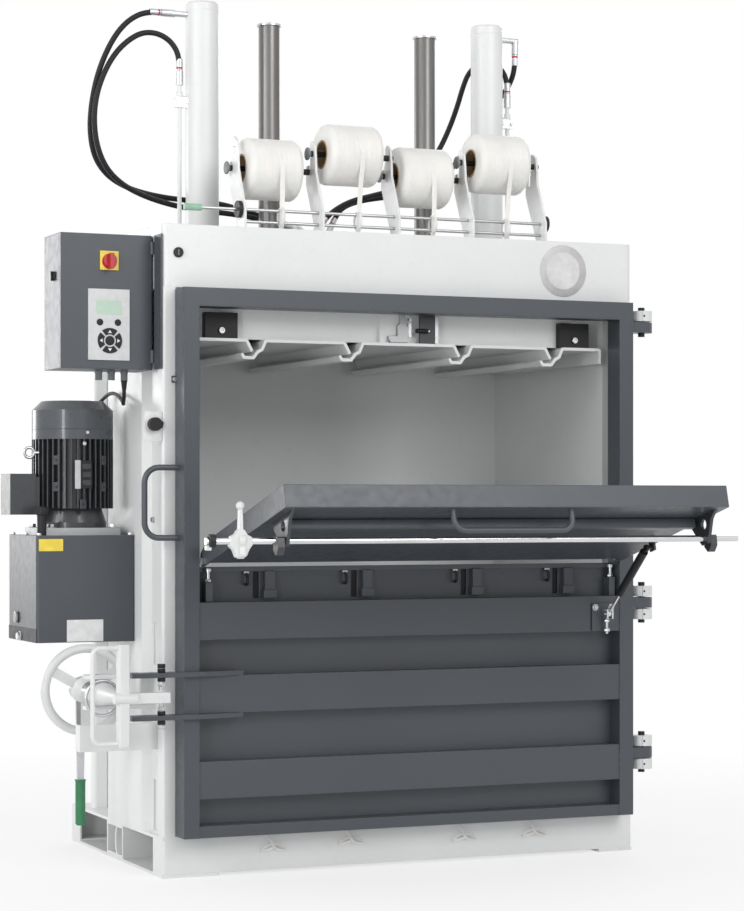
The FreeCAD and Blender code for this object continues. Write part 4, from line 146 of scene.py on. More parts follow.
class Nodes:
    """A node tree, with short ways to add the usual nodes."""

    def __init__(self, tree):
        self.nodes, self.links = tree.nodes, tree.links

    def first(self, kind):
        return next(node for node in self.nodes if node.type == kind)

    def feed(self, socket, value):
        """Sets a socket to a value, or links it to another node's output."""
        if isinstance(value, bpy.types.NodeSocket):
            self.links.new(value, socket)
        else:
            socket.default_value = value

    def fill(self, node, **values):
        """Feeds the inputs that have a capital, with _ for a space, and sets the rest."""
        for key, value in values.items():
            if key[0].isupper():
                self.feed(node.inputs[key.replace("_", " ")], value)
            else:
                setattr(node, key, value)
        return node

    def node(self, kind, **values):
        return self.fill(self.nodes.new(kind), **values)

    def between(self, value, low, high, start=0.0, end=1.0):
        """The value carried from low and high over to start and end, and held there."""
        return self.node("ShaderNodeMapRange", Value=value, From_Min=low, From_Max=high,
                         To_Min=start, To_Max=end).outputs[0]

    def maths(self, operation, first, second=0.0):
        made = self.node("ShaderNodeMath", operation=operation)
        self.feed(made.inputs[0], first)
        self.feed(made.inputs[1], second)
        return made.outputs[0]

    def seen(self):
        """1 for rays that only show a surface, and 0 for those that it would light."""
        rays = self.node("ShaderNodeLightPath").outputs
        shown = self.maths("MAXIMUM", rays["Is Camera Ray"], rays["Is Glossy Ray"])
        return self.maths("MAXIMUM", shown, rays["Is Transmission Ray"])


class Finish(Nodes):
    """Nodes of one material, laid out in the object's own space."""

    def __init__(self, name):
        self.material = bpy.data.materials.new(name)
        self.material.use_nodes = True
        super().__init__(self.material.node_tree)
        self.shader = self.first("BSDF_PRINCIPLED")
        self.place = self.node("ShaderNodeTexCoord").outputs["Object"]

    def look(self, **values):
        self.fill(self.shader, **values)
        return self.material

    def noise(self, scale, detail=3.0, stretch=None):
        place = self.place
        if stretch:
            place = self.node("ShaderNodeMapping", Scale=stretch, Vector=place).outputs[0]
        return self.node("ShaderNodeTexNoise", Scale=scale, Detail=detail,
                         Vector=place).outputs["Fac"]

    def wave(self, direction, scale, distortion):
        return self.node("ShaderNodeTexWave", wave_type="BANDS", bands_direction=direction,
                         Scale=scale, Distortion=distortion, Vector=self.place).outputs["Fac"]

    def blend(self, share, first, second):
        made = self.node("ShaderNodeMix", data_type="RGBA", Factor=share)
        self.feed(made.inputs[6], first)
        self.feed(made.inputs[7], second)
        return made.outputs[2]

    def mottled(self, value, low, high, first, second):
        """The first colour at low, running into the second at high."""
        return self.blend(self.between(value, low, high), first, second)

    def relief(self, height, depth, normal=None):
        """Bump of that depth in metres, over a rounded normal if one is given."""
        made = self.node("ShaderNodeBump", Distance=depth, Height=height)
        if normal is not None:
            self.feed(made.inputs["Normal"], normal)
        return made.outputs[0]

    def round_edges(self, radius):
        """Normal that rounds the edges."""
        return self.node("ShaderNodeBevel", samples=4, Radius=radius).outputs[0]

    def edge_share(self, normal):
        """1 at the edges, where the rounded normal turns away from the flat one."""
        flat = self.node("ShaderNodeNewGeometry").outputs["Normal"]
        dot = self.node("ShaderNodeVectorMath", operation="DOT_PRODUCT")
        self.feed(dot.inputs[0], normal)
        self.feed(dot.inputs[1], flat)
        return self.between(dot.outputs["Value"], 0.995, 0.8)


def painted(name, colour, rough, wear_and_highlight=1.15, peel=0.00004, metal=0.0, coat=0.0, edges=1.0):
    """Powder coat: orange peel, faint scuffs, blotches darker towards the bottom, and edges of
    another tone, partly rubbed paint and partly a painted highlight.
    """
    make = Finish(name)
    normal = make.round_edges(sizes().edge_round * edges)
    marks = make.noise(46.0, 6.0)
    tone = make.mottled(make.noise(2.4, 4.0), 0.35, 0.65, shade(colour, 0.955), shade(colour, 1.03))
    tone = make.blend(make.between(marks, 0.6, 0.74, 0.0, 0.22), tone, shade(colour, 0.82))
    # blotches that darken the paint towards the bottom
    height = make.node("ShaderNodeSeparateXYZ", Vector=make.place).outputs["Z"]
    blotches = make.maths("MULTIPLY", make.between(height, 0.12, 0.0, 0.0, 0.35),
                      make.between(marks, 0.2, 0.9, 0.5, 1.0))
    tone = make.blend(blotches, tone, shade(colour, 0.78))
    # edge tone: rubbed paint, and where it lightens the dark paints, a painted highlight along the
    # edges
    worn_and_highlit = make.maths("MULTIPLY", make.edge_share(normal),
                      make.between(make.noise(130.0, 4.0), 0.42, 0.62))
    return make.look(
        Base_Color=make.blend(worn_and_highlit, tone, shade(colour, wear_and_highlight)),
        Roughness=make.between(marks, 0.3, 0.72, rough - 0.05, rough + 0.07),
        Normal=make.relief(make.noise(850.0, 2.0), peel, normal),
        Metallic=metal,
        Coat_Weight=coat,
    )


def bare_metal(name, colour, rough, stretch=(1, 1, 1), scale=60.0, depth=0.00003):
    """Metal with a drawn, turned or plated surface."""
    make = Finish(name)
    grain = make.noise(scale, 4.0, stretch)
    return make.look(
        Base_Color=make.mottled(make.noise(9.0, 5.0), 0.35, 0.7,
                                shade(colour, 1.0), shade(colour, 0.84)),
        Metallic=1.0,
        Roughness=make.between(grain, 0.3, 0.7, rough - 0.05, rough + 0.1),
        Normal=make.relief(grain, depth, make.round_edges(0.0006)),
    )


def moulded(name, colour, rough, grain=1400.0, depth=0.00003, coat=0.0, shine=0.5):
    """Plastic or rubber with a fine grain and handling marks."""
    make = Finish(name)
    handled = make.noise(34.0, 5.0)
    return make.look(
        Base_Color=make.mottled(handled, 0.4, 0.7, shade(colour, 0.94), shade(colour, 1.12)),
        Roughness=make.between(handled, 0.3, 0.7, rough - 0.06, rough + 0.08),
        Normal=make.relief(make.noise(grain, 2.0), depth, make.round_edges(0.0008)),
        Coat_Weight=coat,
        Specular_IOR_Level=shine,
    )


def hose_rubber(name):
    """Black hose cover with the faint spiral of the cloth it was cured in."""
    make = Finish(name)
    rubber = colours().hose
    blotches = make.noise(26.0, 5.0)
    return make.look(
        Base_Color=make.mottled(blotches, 0.45, 0.75, shade(rubber, 1.0), shade(rubber, 1.7)),
        Roughness=make.between(blotches, 0.3, 0.7, 0.44, 0.56),
        Specular_IOR_Level=0.32,
        Normal=make.relief(make.wave("DIAGONAL", 240.0, 2.0), 0.00008),
    )


def strap_winding(name):
    """Wound woven strap: filaments round the roll, wraps side by side, layers at its ends."""
    make = Finish(name)
    strap, sums = colours().strap, make.maths
    x, y, z = make.node("ShaderNodeSeparateXYZ", Vector=make.place).outputs
    radius = sums("SQRT", sums("ADD", sums("MULTIPLY", y, y), sums("MULTIPLY", z, z)))
    filament = 0.0011
    filaments = sums("SINE", sums("MULTIPLY", sums("ADD", x, radius), math.tau / filament))
    lean = sums("MULTIPLY", sums("ARCTAN2", y, z), 0.013 / math.tau)
    wrap_edge = sums("PINGPONG", sums("ADD", x, lean), sizes().strap_width / 2)
    wrap_line = make.between(wrap_edge, 0.0, 0.0012)
    fuzz = make.noise(320.0, 4.0, (1.0, 0.15, 0.15))
    tone = make.mottled(make.noise(14.0, 4.0), 0.35, 0.65, shade(strap, 0.96), shade(strap, 1.04))
    tone = make.blend(make.between(wrap_line, 1.0, 0.0, 0.0, 0.2), tone, shade(strap, 0.9))
    tone = make.blend(make.between(fuzz, 0.5, 0.75, 0.0, 0.4), tone, shade(strap, 0.93))
    height = sums("ADD", sums("MULTIPLY", filaments, 0.3), sums("MULTIPLY", fuzz, 1.2))
    return make.look(
        Base_Color=tone,
        Roughness=make.between(fuzz, 0.3, 0.7, 0.4, 0.58),
        Normal=make.relief(height, 0.00016),
        Sheen_Weight=0.25,
        Subsurface_Weight=0.12,
        Subsurface_Scale=0.004,
    )


def strap_tape(name):
    """One strap: filaments lengthways, with slightly open edges."""
    make = Finish(name)
    strap = colours().strap
    fine = make.noise(900.0, 3.0, (1.0, 1.0, 0.04))
    tone = make.mottled(fine, 0.35, 0.65, shade(strap, 0.9), shade(strap, 1.05))
    cloud = make.between(make.noise(30.0, 3.0), 0.5, 0.8, 0.0, 0.3)
    return make.look(Base_Color=make.blend(cloud, tone, shade(strap, 0.88)), Roughness=0.5,
                     Normal=make.relief(fine, 0.0002), Sheen_Weight=0.2)


def roll_card(name):
    """Wound brown card, with a spiral joint and furry edges."""
    make = Finish(name)
    fibre = make.noise(420.0, 5.0)
    joint = make.between(make.wave("X", 22.0, 1.5), 0.9, 1.0, 0.0, 0.5)
    tone = make.mottled(fibre, 0.35, 0.7, (0.44, 0.31, 0.18, 1), (0.3, 0.2, 0.115, 1))
    return make.look(Base_Color=make.blend(joint, tone, (0.2, 0.13, 0.07, 1)), Roughness=0.85,
                     Normal=make.relief(fibre, 0.0002))


def display_screen(name):
    """Pale green screen behind a clear window, switched off."""
    make = Finish(name)
    cells = make.node("ShaderNodeTexChecker", Scale=1400.0, Vector=make.place).outputs["Fac"]
    tone = make.blend(make.between(cells, 0, 1, 0, 0.3), (0.5, 0.66, 0.54, 1),
        (0.42, 0.58, 0.46, 1))
    cloud = make.between(make.noise(40.0, 3.0), 0.4, 0.7, 0.0, 0.5)
    return make.look(Base_Color=make.blend(cloud, tone, (0.56, 0.7, 0.6, 1)), Roughness=0.12,
                     Coat_Weight=0.6)


def key_film(name):
    """Light grey printed film over the keys, with a fine texture."""
    make = Finish(name)
    hand = make.noise(60.0, 4.0)
    return make.look(
        Base_Color=make.mottled(hand, 0.4, 0.7, (0.66, 0.665, 0.67, 1), (0.6, 0.605, 0.61, 1)),
        Roughness=make.between(hand, 0.3, 0.7, 0.34, 0.5),
        Normal=make.relief(make.noise(2200.0, 2.0), 0.00002),
    )


def clear_bowl(name):
    """Clear plastic of the oil level plug."""
    make = Finish(name)
    haze = make.noise(50.0, 4.0)
    return make.look(
        Base_Color=make.mottled(haze, 0.4, 0.7, (0.72, 0.74, 0.72, 1), (0.6, 0.62, 0.58, 1)),
        Roughness=make.between(haze, 0.3, 0.7, 0.05, 0.16),
        Transmission_Weight=0.45,
        IOR=1.49,
    )


def column_steel(name):
    """Hard chromed guide columns: ground round, with an oil film and upright streaks."""
    make = Finish(name)
    streaks = make.noise(55.0, 5.0, (1.0, 1.0, 0.03))
    return make.look(
        Base_Color=make.mottled(streaks, 0.35, 0.7,
                                (0.2, 0.195, 0.19, 1), (0.13, 0.127, 0.123, 1)),
        Metallic=0.85,
        Roughness=make.between(streaks, 0.3, 0.7, 0.3, 0.44),
        Normal=make.relief(make.noise(150.0, 3.0, (1.0, 1.0, 6.0)), 0.00002),
    )


def white(share):
    return shade(colours().white_paint, share)


def grey(share):
    return shade(colours().grey_paint, share)


FINISHES = {
    "white paint": lambda name: painted(name, colours().white_paint, 0.36, 1.04),
    "chamber paint": lambda name: painted(name, white(0.93), 0.45, 0.8),
    # the dark paints get edges about twice as light: rubbed paint, and a painted highlight along
    # the rounded edges
    "grey paint": lambda name: painted(name, colours().grey_paint, 0.35, 2.2, 0.000015, edges=2.2),
    "motor paint": lambda name: painted(name, grey(0.5), 0.32, 2.2, 0.00006, coat=0.3),
    "fan cover paint": lambda name: painted(name, grey(0.95), 0.3, 1.8, 0.00005, coat=0.4),
    "cast aluminium": lambda name: painted(name, (0.42, 0.43, 0.44), 0.45, 1.3, 0.00012, metal=0.6),
    "wheel paint": lambda name: painted(name, white(0.93), 0.38, 1.0, 0.00008),
    "zinc plate": lambda name: bare_metal(name, (0.62, 0.63, 0.65), 0.3),
    "drawn steel": lambda name: bare_metal(name, (0.5, 0.5, 0.51), 0.32, (0.05, 1, 1), 300.0),
    "turned steel": lambda name: bare_metal(name, (0.56, 0.56, 0.57), 0.25, (0.2, 1, 0.2), 500.0),
    "hard chrome": lambda name: bare_metal(name, (0.72, 0.72, 0.73), 0.12, (1, 1, 3), 200.0,
                                           0.00001),
    "column steel": column_steel,
    "hose rubber": hose_rubber,
    "wound strap": strap_winding,
    "woven strap": strap_tape,
    "roll card": roll_card,
    "black moulding": lambda name: moulded(name, (0.016, 0.016, 0.018), 0.45, shine=0.3),
    "white moulding": lambda name: moulded(name, (0.78, 0.785, 0.78), 0.4),
    "grey moulding": lambda name: moulded(name, (0.2, 0.21, 0.22), 0.5),
    "green grip": lambda name: moulded(name, colours().grip, 0.42, 700.0, 0.00008),
    "pale green grip": lambda name: moulded(name, (0.3, 0.5, 0.37), 0.45, 700.0, 0.00008),
    "red moulding": lambda name: moulded(name, colours().switch_knob, 0.3, coat=0.3),
    "yellow plate": lambda name: moulded(name, colours().switch_plate, 0.4),
    "white plate": lambda name: moulded(name, (0.74, 0.745, 0.74), 0.4),
    "silver plate": lambda name: moulded(name, (0.56, 0.55, 0.56), 0.4),
    "pearl plate": lambda name: moulded(name, (0.7, 0.69, 0.7), 0.4),
    "key rubber": lambda name: moulded(name, (0.022, 0.024, 0.027), 0.55, shine=0.25),
    "key mark": lambda name: moulded(name, (0.8, 0.8, 0.8), 0.5),
    "key film": key_film,
    "display screen": display_screen,
    "sight plug": clear_bowl,
}


def finish(name):
    """The material of that name, made when it is first asked for."""
    return bpy.data.materials.get(name) or FINISHES[name](name)


def dress(node, *names, choose=lambda place: 0):
    """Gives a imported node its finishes, and each face the one chosen by its place in mm."""
    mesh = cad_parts[node].data
    mesh.materials.clear()
    for name in names:
        mesh.materials.append(finish(name))
    for face in mesh.polygons:
        face.material_index = int(choose(face.center / MM))


def rounded(width, height, radius, steps=5):
    """Outline of a rectangle with round corners."""
    points = []
    for side_x, side_y, first in ((1, 1, 0), (-1, 1, 90), (-1, -1, 180), (1, -1, 270)):
        for step in range(steps + 1):
            angle = math.radians(first + 90 * step / steps)
            points.append((side_x * (width / 2 - radius) + radius * math.cos(angle),
                           side_y * (height / 2 - radius) + radius * math.sin(angle)))
    return points


def sector(inner, outer, start, end, steps=8):
    """Outline of part of a ring, between two angles in degrees."""
    angles = [math.radians(start + (end - start) * step / steps) for step in range(steps + 1)]
    return ([(outer * math.cos(a), outer * math.sin(a)) for a in angles]
            + [(inner * math.cos(a), inner * math.sin(a)) for a in reversed(angles)])


class Form:
    """Mesh gathered in millimetres in the baler's frame, and made into a piece at the end."""

    def __init__(self):
        self.mesh = bmesh.new()

    def join(self, low, high):
        """Faces between two rings, or between a ring and a single point."""
        count = max(len(low), len(high))
        for k in range(count):
            corners = [low[k % len(low)], low[(k + 1) % len(low)], high[(k + 1) % len(high)],
                high[k % len(high)]]
            corners = [v for i, v in enumerate(corners) if v not in corners[:i]]
            if len(corners) > 2:
                self.mesh.faces.new(corners)

    def turned(self, outline, at, along=UP, sides=32, twist=0.0):
        """Turns (radius, height) pairs about a line through a point."""
        turn = Vector(along).to_track_quat("Z", "Y").to_matrix()
        rings = []
        for radius, height in outline:
            ring = []
            for k in range(sides if radius > 0 else 1):
                angle = math.tau * k / sides + twist
                spot = Vector((radius * math.cos(angle), radius * math.sin(angle), height))
                ring.append(self.mesh.verts.new(Vector(at) + turn @ spot))
            rings.append(ring)
        for low, high in zip(rings, rings[1:]):
            self.join(low, high)
        return self

    def skin(self, rings, closed=False):
        """Joins rings in a row, and closes the row or caps its ends."""
        for low, high in zip(rings, rings[1:]):
            self.join(low, high)
        if closed:
            self.join(rings[-1], rings[0])
        else:
            self.mesh.faces.new(list(reversed(rings[0])))
            self.mesh.faces.new(rings[-1])
        return self

    def disc(self, radius, depth, at, along, sides):
        return self.turned([(0, 0), (radius, 0), (radius, depth), (0, depth)], at, along, sides)

    def ring(self, inner, outer, depth, at, along=UP, sides=32):
        """Flat ring with small chamfers."""
        edge = min(0.6, depth / 3)
        return self.turned([(inner, 0), (outer - edge, 0), (outer, edge), (outer, depth - edge),
                            (outer - edge, depth), (inner, depth), (inner, 0)], at, along, sides)

    def prism(self, outline, at, across, up, depth):
        """Flat outline made thick towards across x up."""
        across, up, at = Vector(across), Vector(up), Vector(at)
        out = across.cross(up) * depth
        back = [self.mesh.verts.new(at + across * u + up * v) for u, v in outline]
        front = [self.mesh.verts.new(v.co + out) for v in back]
        self.mesh.faces.new(back)
        self.mesh.faces.new(list(reversed(front)))
        self.join(back, front)
        return self

    def plate(self, width, height, depth, at, across=RIGHT, up=UP, radius=1.0):
        return self.prism(rounded(width, height, radius), at, across, up, depth)

    def hex_head(self, at, along, flats, height, washer=0.0):
        """Hex head with a chamfered top, on a washer."""
        corner = flats / math.sqrt(3)
        at = Vector(at)
        if washer:
            self.ring(flats * 0.2, flats * 0.62 + 1.5, washer, at, along, 24)
        shape = [(0, 0), (corner, 0), (corner, height * 0.82), (corner * 0.9, height), (0, height)]
        return self.turned(shape, at + Vector(along) * washer, along, 6, 0.3)

    def socket_head(self, at, along, radius, height):
        """Round screw head with a socket."""
        shape = [(0, 0), (radius, 0), (radius, height - 0.5), (radius - 0.5, height),
                 (radius * 0.55, height), (radius * 0.5, height * 0.45), (0, height * 0.45)]
        return self.turned(shape, at, along, 20)

    def nut(self, at, along, flats, height, bore):
        """Hex nut or lock nut about a bolt."""
        corner = flats / math.sqrt(3)
        shape = [(bore, 0), (corner * 0.9, 0), (corner, height * 0.14), (corner, height * 0.86),
                 (corner * 0.9, height), (bore, height), (bore, 0)]
        return self.turned(shape, at, along, 6, 0.3)

    def pan_head(self, at, along, radius):
        """Low round screw head with a hollow in its middle."""
        shape = [(0, 0), (radius, 0), (radius * 0.95, radius * 0.3), (radius * 0.6, radius * 0.55),
                 (radius * 0.28, radius * 0.6), (radius * 0.2, radius * 0.25), (0, radius * 0.2)]
        return self.turned(shape, at, along, 16)

    def rod(self, points, radius, sides=12, closed=False):
        """Round bar through the points, which lie close together where it bends."""
        points = [Vector(p) for p in points]
        vert = self.mesh.verts.new
        rings = []
        turn = None
        for k, spot in enumerate(points):
            if closed:
                ahead, behind = points[(k + 1) % len(points)], points[k - 1]
            else:
                ahead, behind = points[min(k + 1, len(points) - 1)], points[max(k - 1, 0)]
            along = (ahead - behind).normalized()
            if turn is None:
                side = along.orthogonal().normalized()
            else:
                side = (turn - along * turn.dot(along)).normalized()
            turn = side
            other = along.cross(side)
            rings.append([
                vert(spot + side * radius * math.cos(angle) + other * radius * math.sin(angle))
                for angle in (math.tau * s / sides for s in range(sides))
            ])
        return self.skin(rings, closed)

    def ribbon(self, points, width, thick, across):
        """Flat strap through the points, with its width along across."""
        across = Vector(across).normalized()
        points = [Vector(p) for p in points]
        rings = []
        for k, spot in enumerate(points):
            along = (points[min(k + 1, len(points) - 1)] - points[max(k - 1, 0)]).normalized()
            out = along.cross(across).normalized() * thick / 2
            side = across * width / 2
            rings.append([self.mesh.verts.new(spot + a + b)
                          for a, b in ((side, out), (-side, out), (-side, -out), (side, -out))])
        return self.skin(rings)

    def piece(self, name, finish_name, body="root", bevel=0.0, centre=None, smooth=38):
        """Makes the object, gives it its finish and lets it ride on a body."""
        bmesh.ops.remove_doubles(self.mesh, verts=self.mesh.verts, dist=0.001)
        bmesh.ops.recalc_face_normals(self.mesh, faces=self.mesh.faces)
        for face in self.mesh.faces:
            face.smooth = True
        for edge in self.mesh.edges:
            edge.smooth = bevel > 0 or edge.calc_face_angle(0.0) < math.radians(smooth)
        middle = Vector(centre or (0, 0, 0))
        for vert in self.mesh.verts:
            vert.co = (vert.co - middle) * MM
        data = bpy.data.meshes.new(name)
        self.mesh.to_mesh(data)
        self.mesh.free()
        data.materials.append(finish(finish_name))
        item = bpy.data.objects.new(name, data)
        item.location = middle * MM
        bpy.context.scene.collection.objects.link(item)
        if bevel:
            rounding = item.modifiers.new("rounded edges", "BEVEL")
            rounding.width = bevel * MM
            rounding.segments = 2
            rounding.limit_method = "ANGLE"
            rounding.angle_limit = math.radians(35)
            rounding.harden_normals = True
        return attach(item, body)


def smoothed(points, steps=6):
    """Points on a smooth line through the given ones."""
    points = [Vector(p) for p in points]
    ends = [points[0] * 2 - points[1]] + points + [points[-1] * 2 - points[-2]]
    line = []
    for a, b, c, d in zip(ends, ends[1:], ends[2:], ends[3:]):
        for step in range(steps):
            t = step / steps
            line.append(0.5 * ((2 * b) + (c - a) * t + (2 * a - 5 * b + 4 * c - d) * t * t
                               + (3 * b - a - 3 * c + d) * t ** 3))
    return line + [points[-1]]


def hose_curve(name, points, diameter):
    """Smooth round cord with those control points, in metres."""
    curve = bpy.data.curves.new(name, "CURVE")
    curve.dimensions = "3D"
    curve.resolution_u = 12
    curve.bevel_depth = diameter / 2
    curve.bevel_resolution = 5
    curve.use_fill_caps = True
    spline = curve.splines.new("NURBS")
    spline.points.add(len(points) - 1)
    for control, spot in zip(spline.points, points):
        control.co = (*spot, 1.0)
    spline.order_u = 3
    spline.use_endpoint_u = True
    curve.materials.append(finish("hose rubber"))
    item = bpy.data.objects.new(name, curve)
    bpy.context.scene.collection.objects.link(item)
    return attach(item, "root")


# the photograph's view, in metres, degrees and millimetres of lens
VIEW_PLACE, VIEW_TURN, VIEW_LENS, VIEW_SHIFT = (-2.690, -6.399, 0.943), -23.35, 99.23, 0.0531
FLOOR_REACH = 40
# distances between which the floor's shadow fades, and how white it is at the nearer one
SHADOW_NEAR, SHADOW_FAR, SHADOW_WHITE = 0.7, 3.0, 0.68
ROOM_LEVEL = 0.46
# name, place, width and height in metres, and power in watts
LAMPS = (
    ("left lamp", (-6.5, -2.2, 4.2), 3.0, 3.0, 150),
    ("front lamp", (1.6, -7.0, 4.4), 3.4, 3.4, 185),
    ("back left lamp", (-4.4, 7.2, 1.9), 2.6, 2.6, 130),
    ("rear lamp", (4.5, 5.5, 4.5), 3.0, 3.0, 90),
    ("strip lamp", (-5.6, -5.4, 1.5), 0.9, 2.4, 75),
)
LAMP_AIM = Vector((0, 0, 1.0))


def pale_floor():
    """Pale floor that keeps the shadow near the baler; its white is only seen, and no lamp."""
    make = Finish("pale floor")
    make.look(
        Base_Color=make.blend(make.noise(3.0), (0.94, 0.94, 0.94, 1), (0.96, 0.96, 0.96, 1)),
        Roughness=0.9,
    )
    away = make.node("ShaderNodeVectorMath", operation="LENGTH", Vector=make.place)
    fade = make.between(away.outputs["Value"], SHADOW_NEAR, SHADOW_FAR, SHADOW_WHITE, 1.0)
    mixed = make.node("ShaderNodeMixShader")
    make.feed(mixed.inputs[0], make.maths("MULTIPLY", fade, make.seen()))
    make.feed(mixed.inputs[1], make.shader.outputs[0])
    make.feed(mixed.inputs[2], make.node("ShaderNodeEmission").outputs[0])
    make.fill(make.first("OUTPUT_MATERIAL"), Surface=mixed.outputs[0])
    return make.material


class BALER_OT_stage(bpy.types.Operator):
    """Adds the camera, the pale floor and the soft lamps"""

    bl_idname = "baler.stage"
    bl_label = "Stage"

    def execute(self, context):
        scene = context.scene
        scene.view_settings.view_transform = "Standard"
        lens = bpy.data.cameras.new("view")
        lens.lens, lens.shift_y = VIEW_LENS, VIEW_SHIFT
        camera = bpy.data.objects.new("view", lens)
        camera.location = VIEW_PLACE
        camera.rotation_euler = (math.radians(90), 0, math.radians(VIEW_TURN))
        scene.collection.objects.link(camera)
        scene.camera = camera

        ground = bmesh.new()
        bmesh.ops.create_grid(ground, x_segments=4, y_segments=4, size=FLOOR_REACH)
        sheet = bpy.data.meshes.new("floor")
        ground.to_mesh(sheet)
        ground.free()
        floor = bpy.data.objects.new("floor", sheet)
        scene.collection.objects.link(floor)
        sheet.materials.append(pale_floor())

        world = bpy.data.worlds.new("white room")
        scene.world = world
        world.use_nodes = True
        make = Nodes(world.node_tree)
        level = make.between(make.seen(), 0.0, 1.0, ROOM_LEVEL, 1.0)
        make.fill(make.first("BACKGROUND"), Color=(1, 1, 1, 1), Strength=level)

        for name, place, width, height, power in LAMPS:
            light = bpy.data.lights.new(name, "AREA")
            light.shape = "RECTANGLE"
            light.size, light.size_y, light.energy = width, height, power
            lamp = bpy.data.objects.new(name, light)
            lamp.location = place
            lamp.rotation_euler = (LAMP_AIM - Vector(place)).to_track_quat("-Z", "Y").to_euler()
            scene.collection.objects.link(lamp)
        return {"FINISHED"}


ONE_FINISH = {
    "white paint": "base_sole base_beams base_centre_box base_deck frame_columns side_panels "
                   "rear_wall head_beams ram_cylinders lock_brackets platen_box platen_sheets",
    "chamber paint": "chamber_floor side_walls",
    "grey paint": "control_cabinet door_frame door_skin door_hinges flap_pan cabinet_door",
    # flap_brackets get the near-black motor paint: their own dark paint, made darker for the shade
    # they sit in
    "motor paint": "flap_brackets motor_housing",
    "wheel paint": "lock_clamp_bar lock_hand_wheel latch_lever",
    "hard chrome": "piston_rods strut_rod",
    "fan cover paint": "fan_cover",
    "black moulding": "strut_cylinder platen_slide_blocks motor_rotor_fan",
    "white moulding": "strap_rings",
    "red moulding": "main_switch_knob",
    "turned steel": "lock_spindle",
}
# nodes of several finishes, and which one a face has by its place in millimetres
SEVERAL_FINISHES = (
    # the latch bar's cams also take the near-black motor paint, made darker for the shade they sit
    # in
    ("latch_bar", ("hard chrome", "motor paint"),
     lambda p: math.hypot(p.y + 965, p.z - 856.7) > 8.6),
    ("door_hook_plates", ("grey paint", "zinc plate"),
     lambda p: math.hypot(p.x + 700, p.y + 470.5) < 6.3),
    ("head_front_beam", ("white paint", "black moulding"), lambda p: p.y < -395.2),
    ("head_girder", ("white paint", "turned steel"), lambda p: p.z > 1649.5),
    ("guide_columns", ("column steel", "turned steel"), lambda p: p.z > 2240),
    ("frame_hinges", ("wheel paint", "black moulding"),
     lambda p: math.hypot(p.x - 683, p.y + 430) < 9.3),
    ("cabinet_fittings", ("grey paint", "grey moulding"), lambda p: p.x < -700),
    ("oil_tank", ("grey paint", "cast aluminium"), lambda p: p.z > 862.5),
    ("motor_fittings", ("motor paint", "black moulding", "turned steel"),
     lambda p: 1 if p.y < -120 else 2 if p.z > 1050 else 0),
    ("oil_pipes", ("white paint", "zinc plate"),
     lambda p: p.z > 2070 or (abs(p.x) < 300 and p.z > 1672)),
    ("safety_switch", ("white moulding", "black moulding"), lambda p: p.y < -396),
    ("roll_arms", ("white paint", "drawn steel"),
     lambda p: math.hypot(p.y + 325, p.z - 1671) < 4.3),
    ("strap_rail_upper", ("drawn steel", "black moulding", "pale green grip"),
     lambda p: 2 if p.x < -544.5 else math.hypot(p.y + 325, p.z - 1702) > 4.6),
    ("door_fittings", ("grey paint", "zinc plate"),
     lambda p: (abs(p.x) > 555 and p.z > 746.5) or (p.x > 530 and p.z < 670)),
    ("lock_ratchet_lever", ("zinc plate", "green grip"), lambda p: p.z < 230.5),
    ("cabinet_panels", ("key film", "yellow plate"), lambda p: p.z > 1500),
)


class BALER_OT_paint(bpy.types.Operator):
    """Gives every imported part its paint, plating or moulded finish"""

    bl_idname = "baler.paint"
    bl_label = "Paint and plating"

    def execute(self, context):
        for name, nodes in ONE_FINISH.items():
            for node in nodes.split():
                dress(node, name)
        for node, names, choose in SEVERAL_FINISHES:
            dress(node, *names, choose=choose)
        return {"FINISHED"}


def collar(name, point, ahead):
    """Crimped collar with its red band, from the end of a hose back along it."""
    at = Vector(point) / MM
    along = (Vector(ahead) - Vector(point)).normalized()
    crimp = [(7.2, 0.4), (8.4, 0.4), (8.9, 1.2), (8.9, 4.6), (8.6, 4.8), (8.6, 9.6), (8.95, 9.8)]
    for step in range(5):
        crimp += [(8.95, 11 + 4 * step), (8.6, 13 + 4 * step)]
    crimp += [(8.9, 31), (7.9, 32.5), (7.2, 32.5), (7.2, 0.4)]
    mark = [(8.5, 4.9), (9.0, 5.1), (9.0, 9.3), (8.5, 9.5), (8.5, 4.9)]
    sleeve = Form().turned(crimp, at, along, 28)
    band = Form().turned(mark, at, along, 28)
    return [sleeve.piece(name + ".collar", "zinc plate"),
            band.piece(name + ".band", "red moulding")]


class BALER_OT_hoses(bpy.types.Operator):
    """Lays the four oil hoses with their crimped collars"""

    bl_idname = "baler.hoses"
    bl_label = "Oil hoses"

    def execute(self, context):
        for name, points in OIL_HOSES.items():
            hose = hose_curve(name + ".hose", points, 0.015)
            ends = (collar(name + ".top", points[0], points[1])
                    + collar(name + ".foot", points[-1], points[-2]))
            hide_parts(name)
        return {"FINISHED"}


class BALER_OT_motor_cable(bpy.types.Operator):
    """Lays the cable from the cabinet to the motor"""

    bl_idname = "baler.motor_cable"
    bl_label = "Motor cable"

    def execute(self, context):
        cable = hose_curve("motor_cable.line", MOTOR_CABLE, 0.010)
        for name, point, ahead in (("gland", MOTOR_CABLE[0], MOTOR_CABLE[1]),
                                   ("box", MOTOR_CABLE[-1], MOTOR_CABLE[-2])):
            along = (Vector(ahead) - Vector(point)).normalized()
            sleeve = Form().turned([(4.8, 0.3), (8.5, 0.3), (8.5, 4), (7.6, 5), (7.4, 9), (7.0, 10),
                (6.9, 14), (6.4, 15), (6.3, 19), (5.9, 20), (5.7, 24), (4.8, 24), (4.8, 0.3)],
                Vector(point) / MM, along, 24)
            sleeve.piece("motor_cable." + name, "black moulding")
        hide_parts("motor_cable")
        return {"FINISHED"}


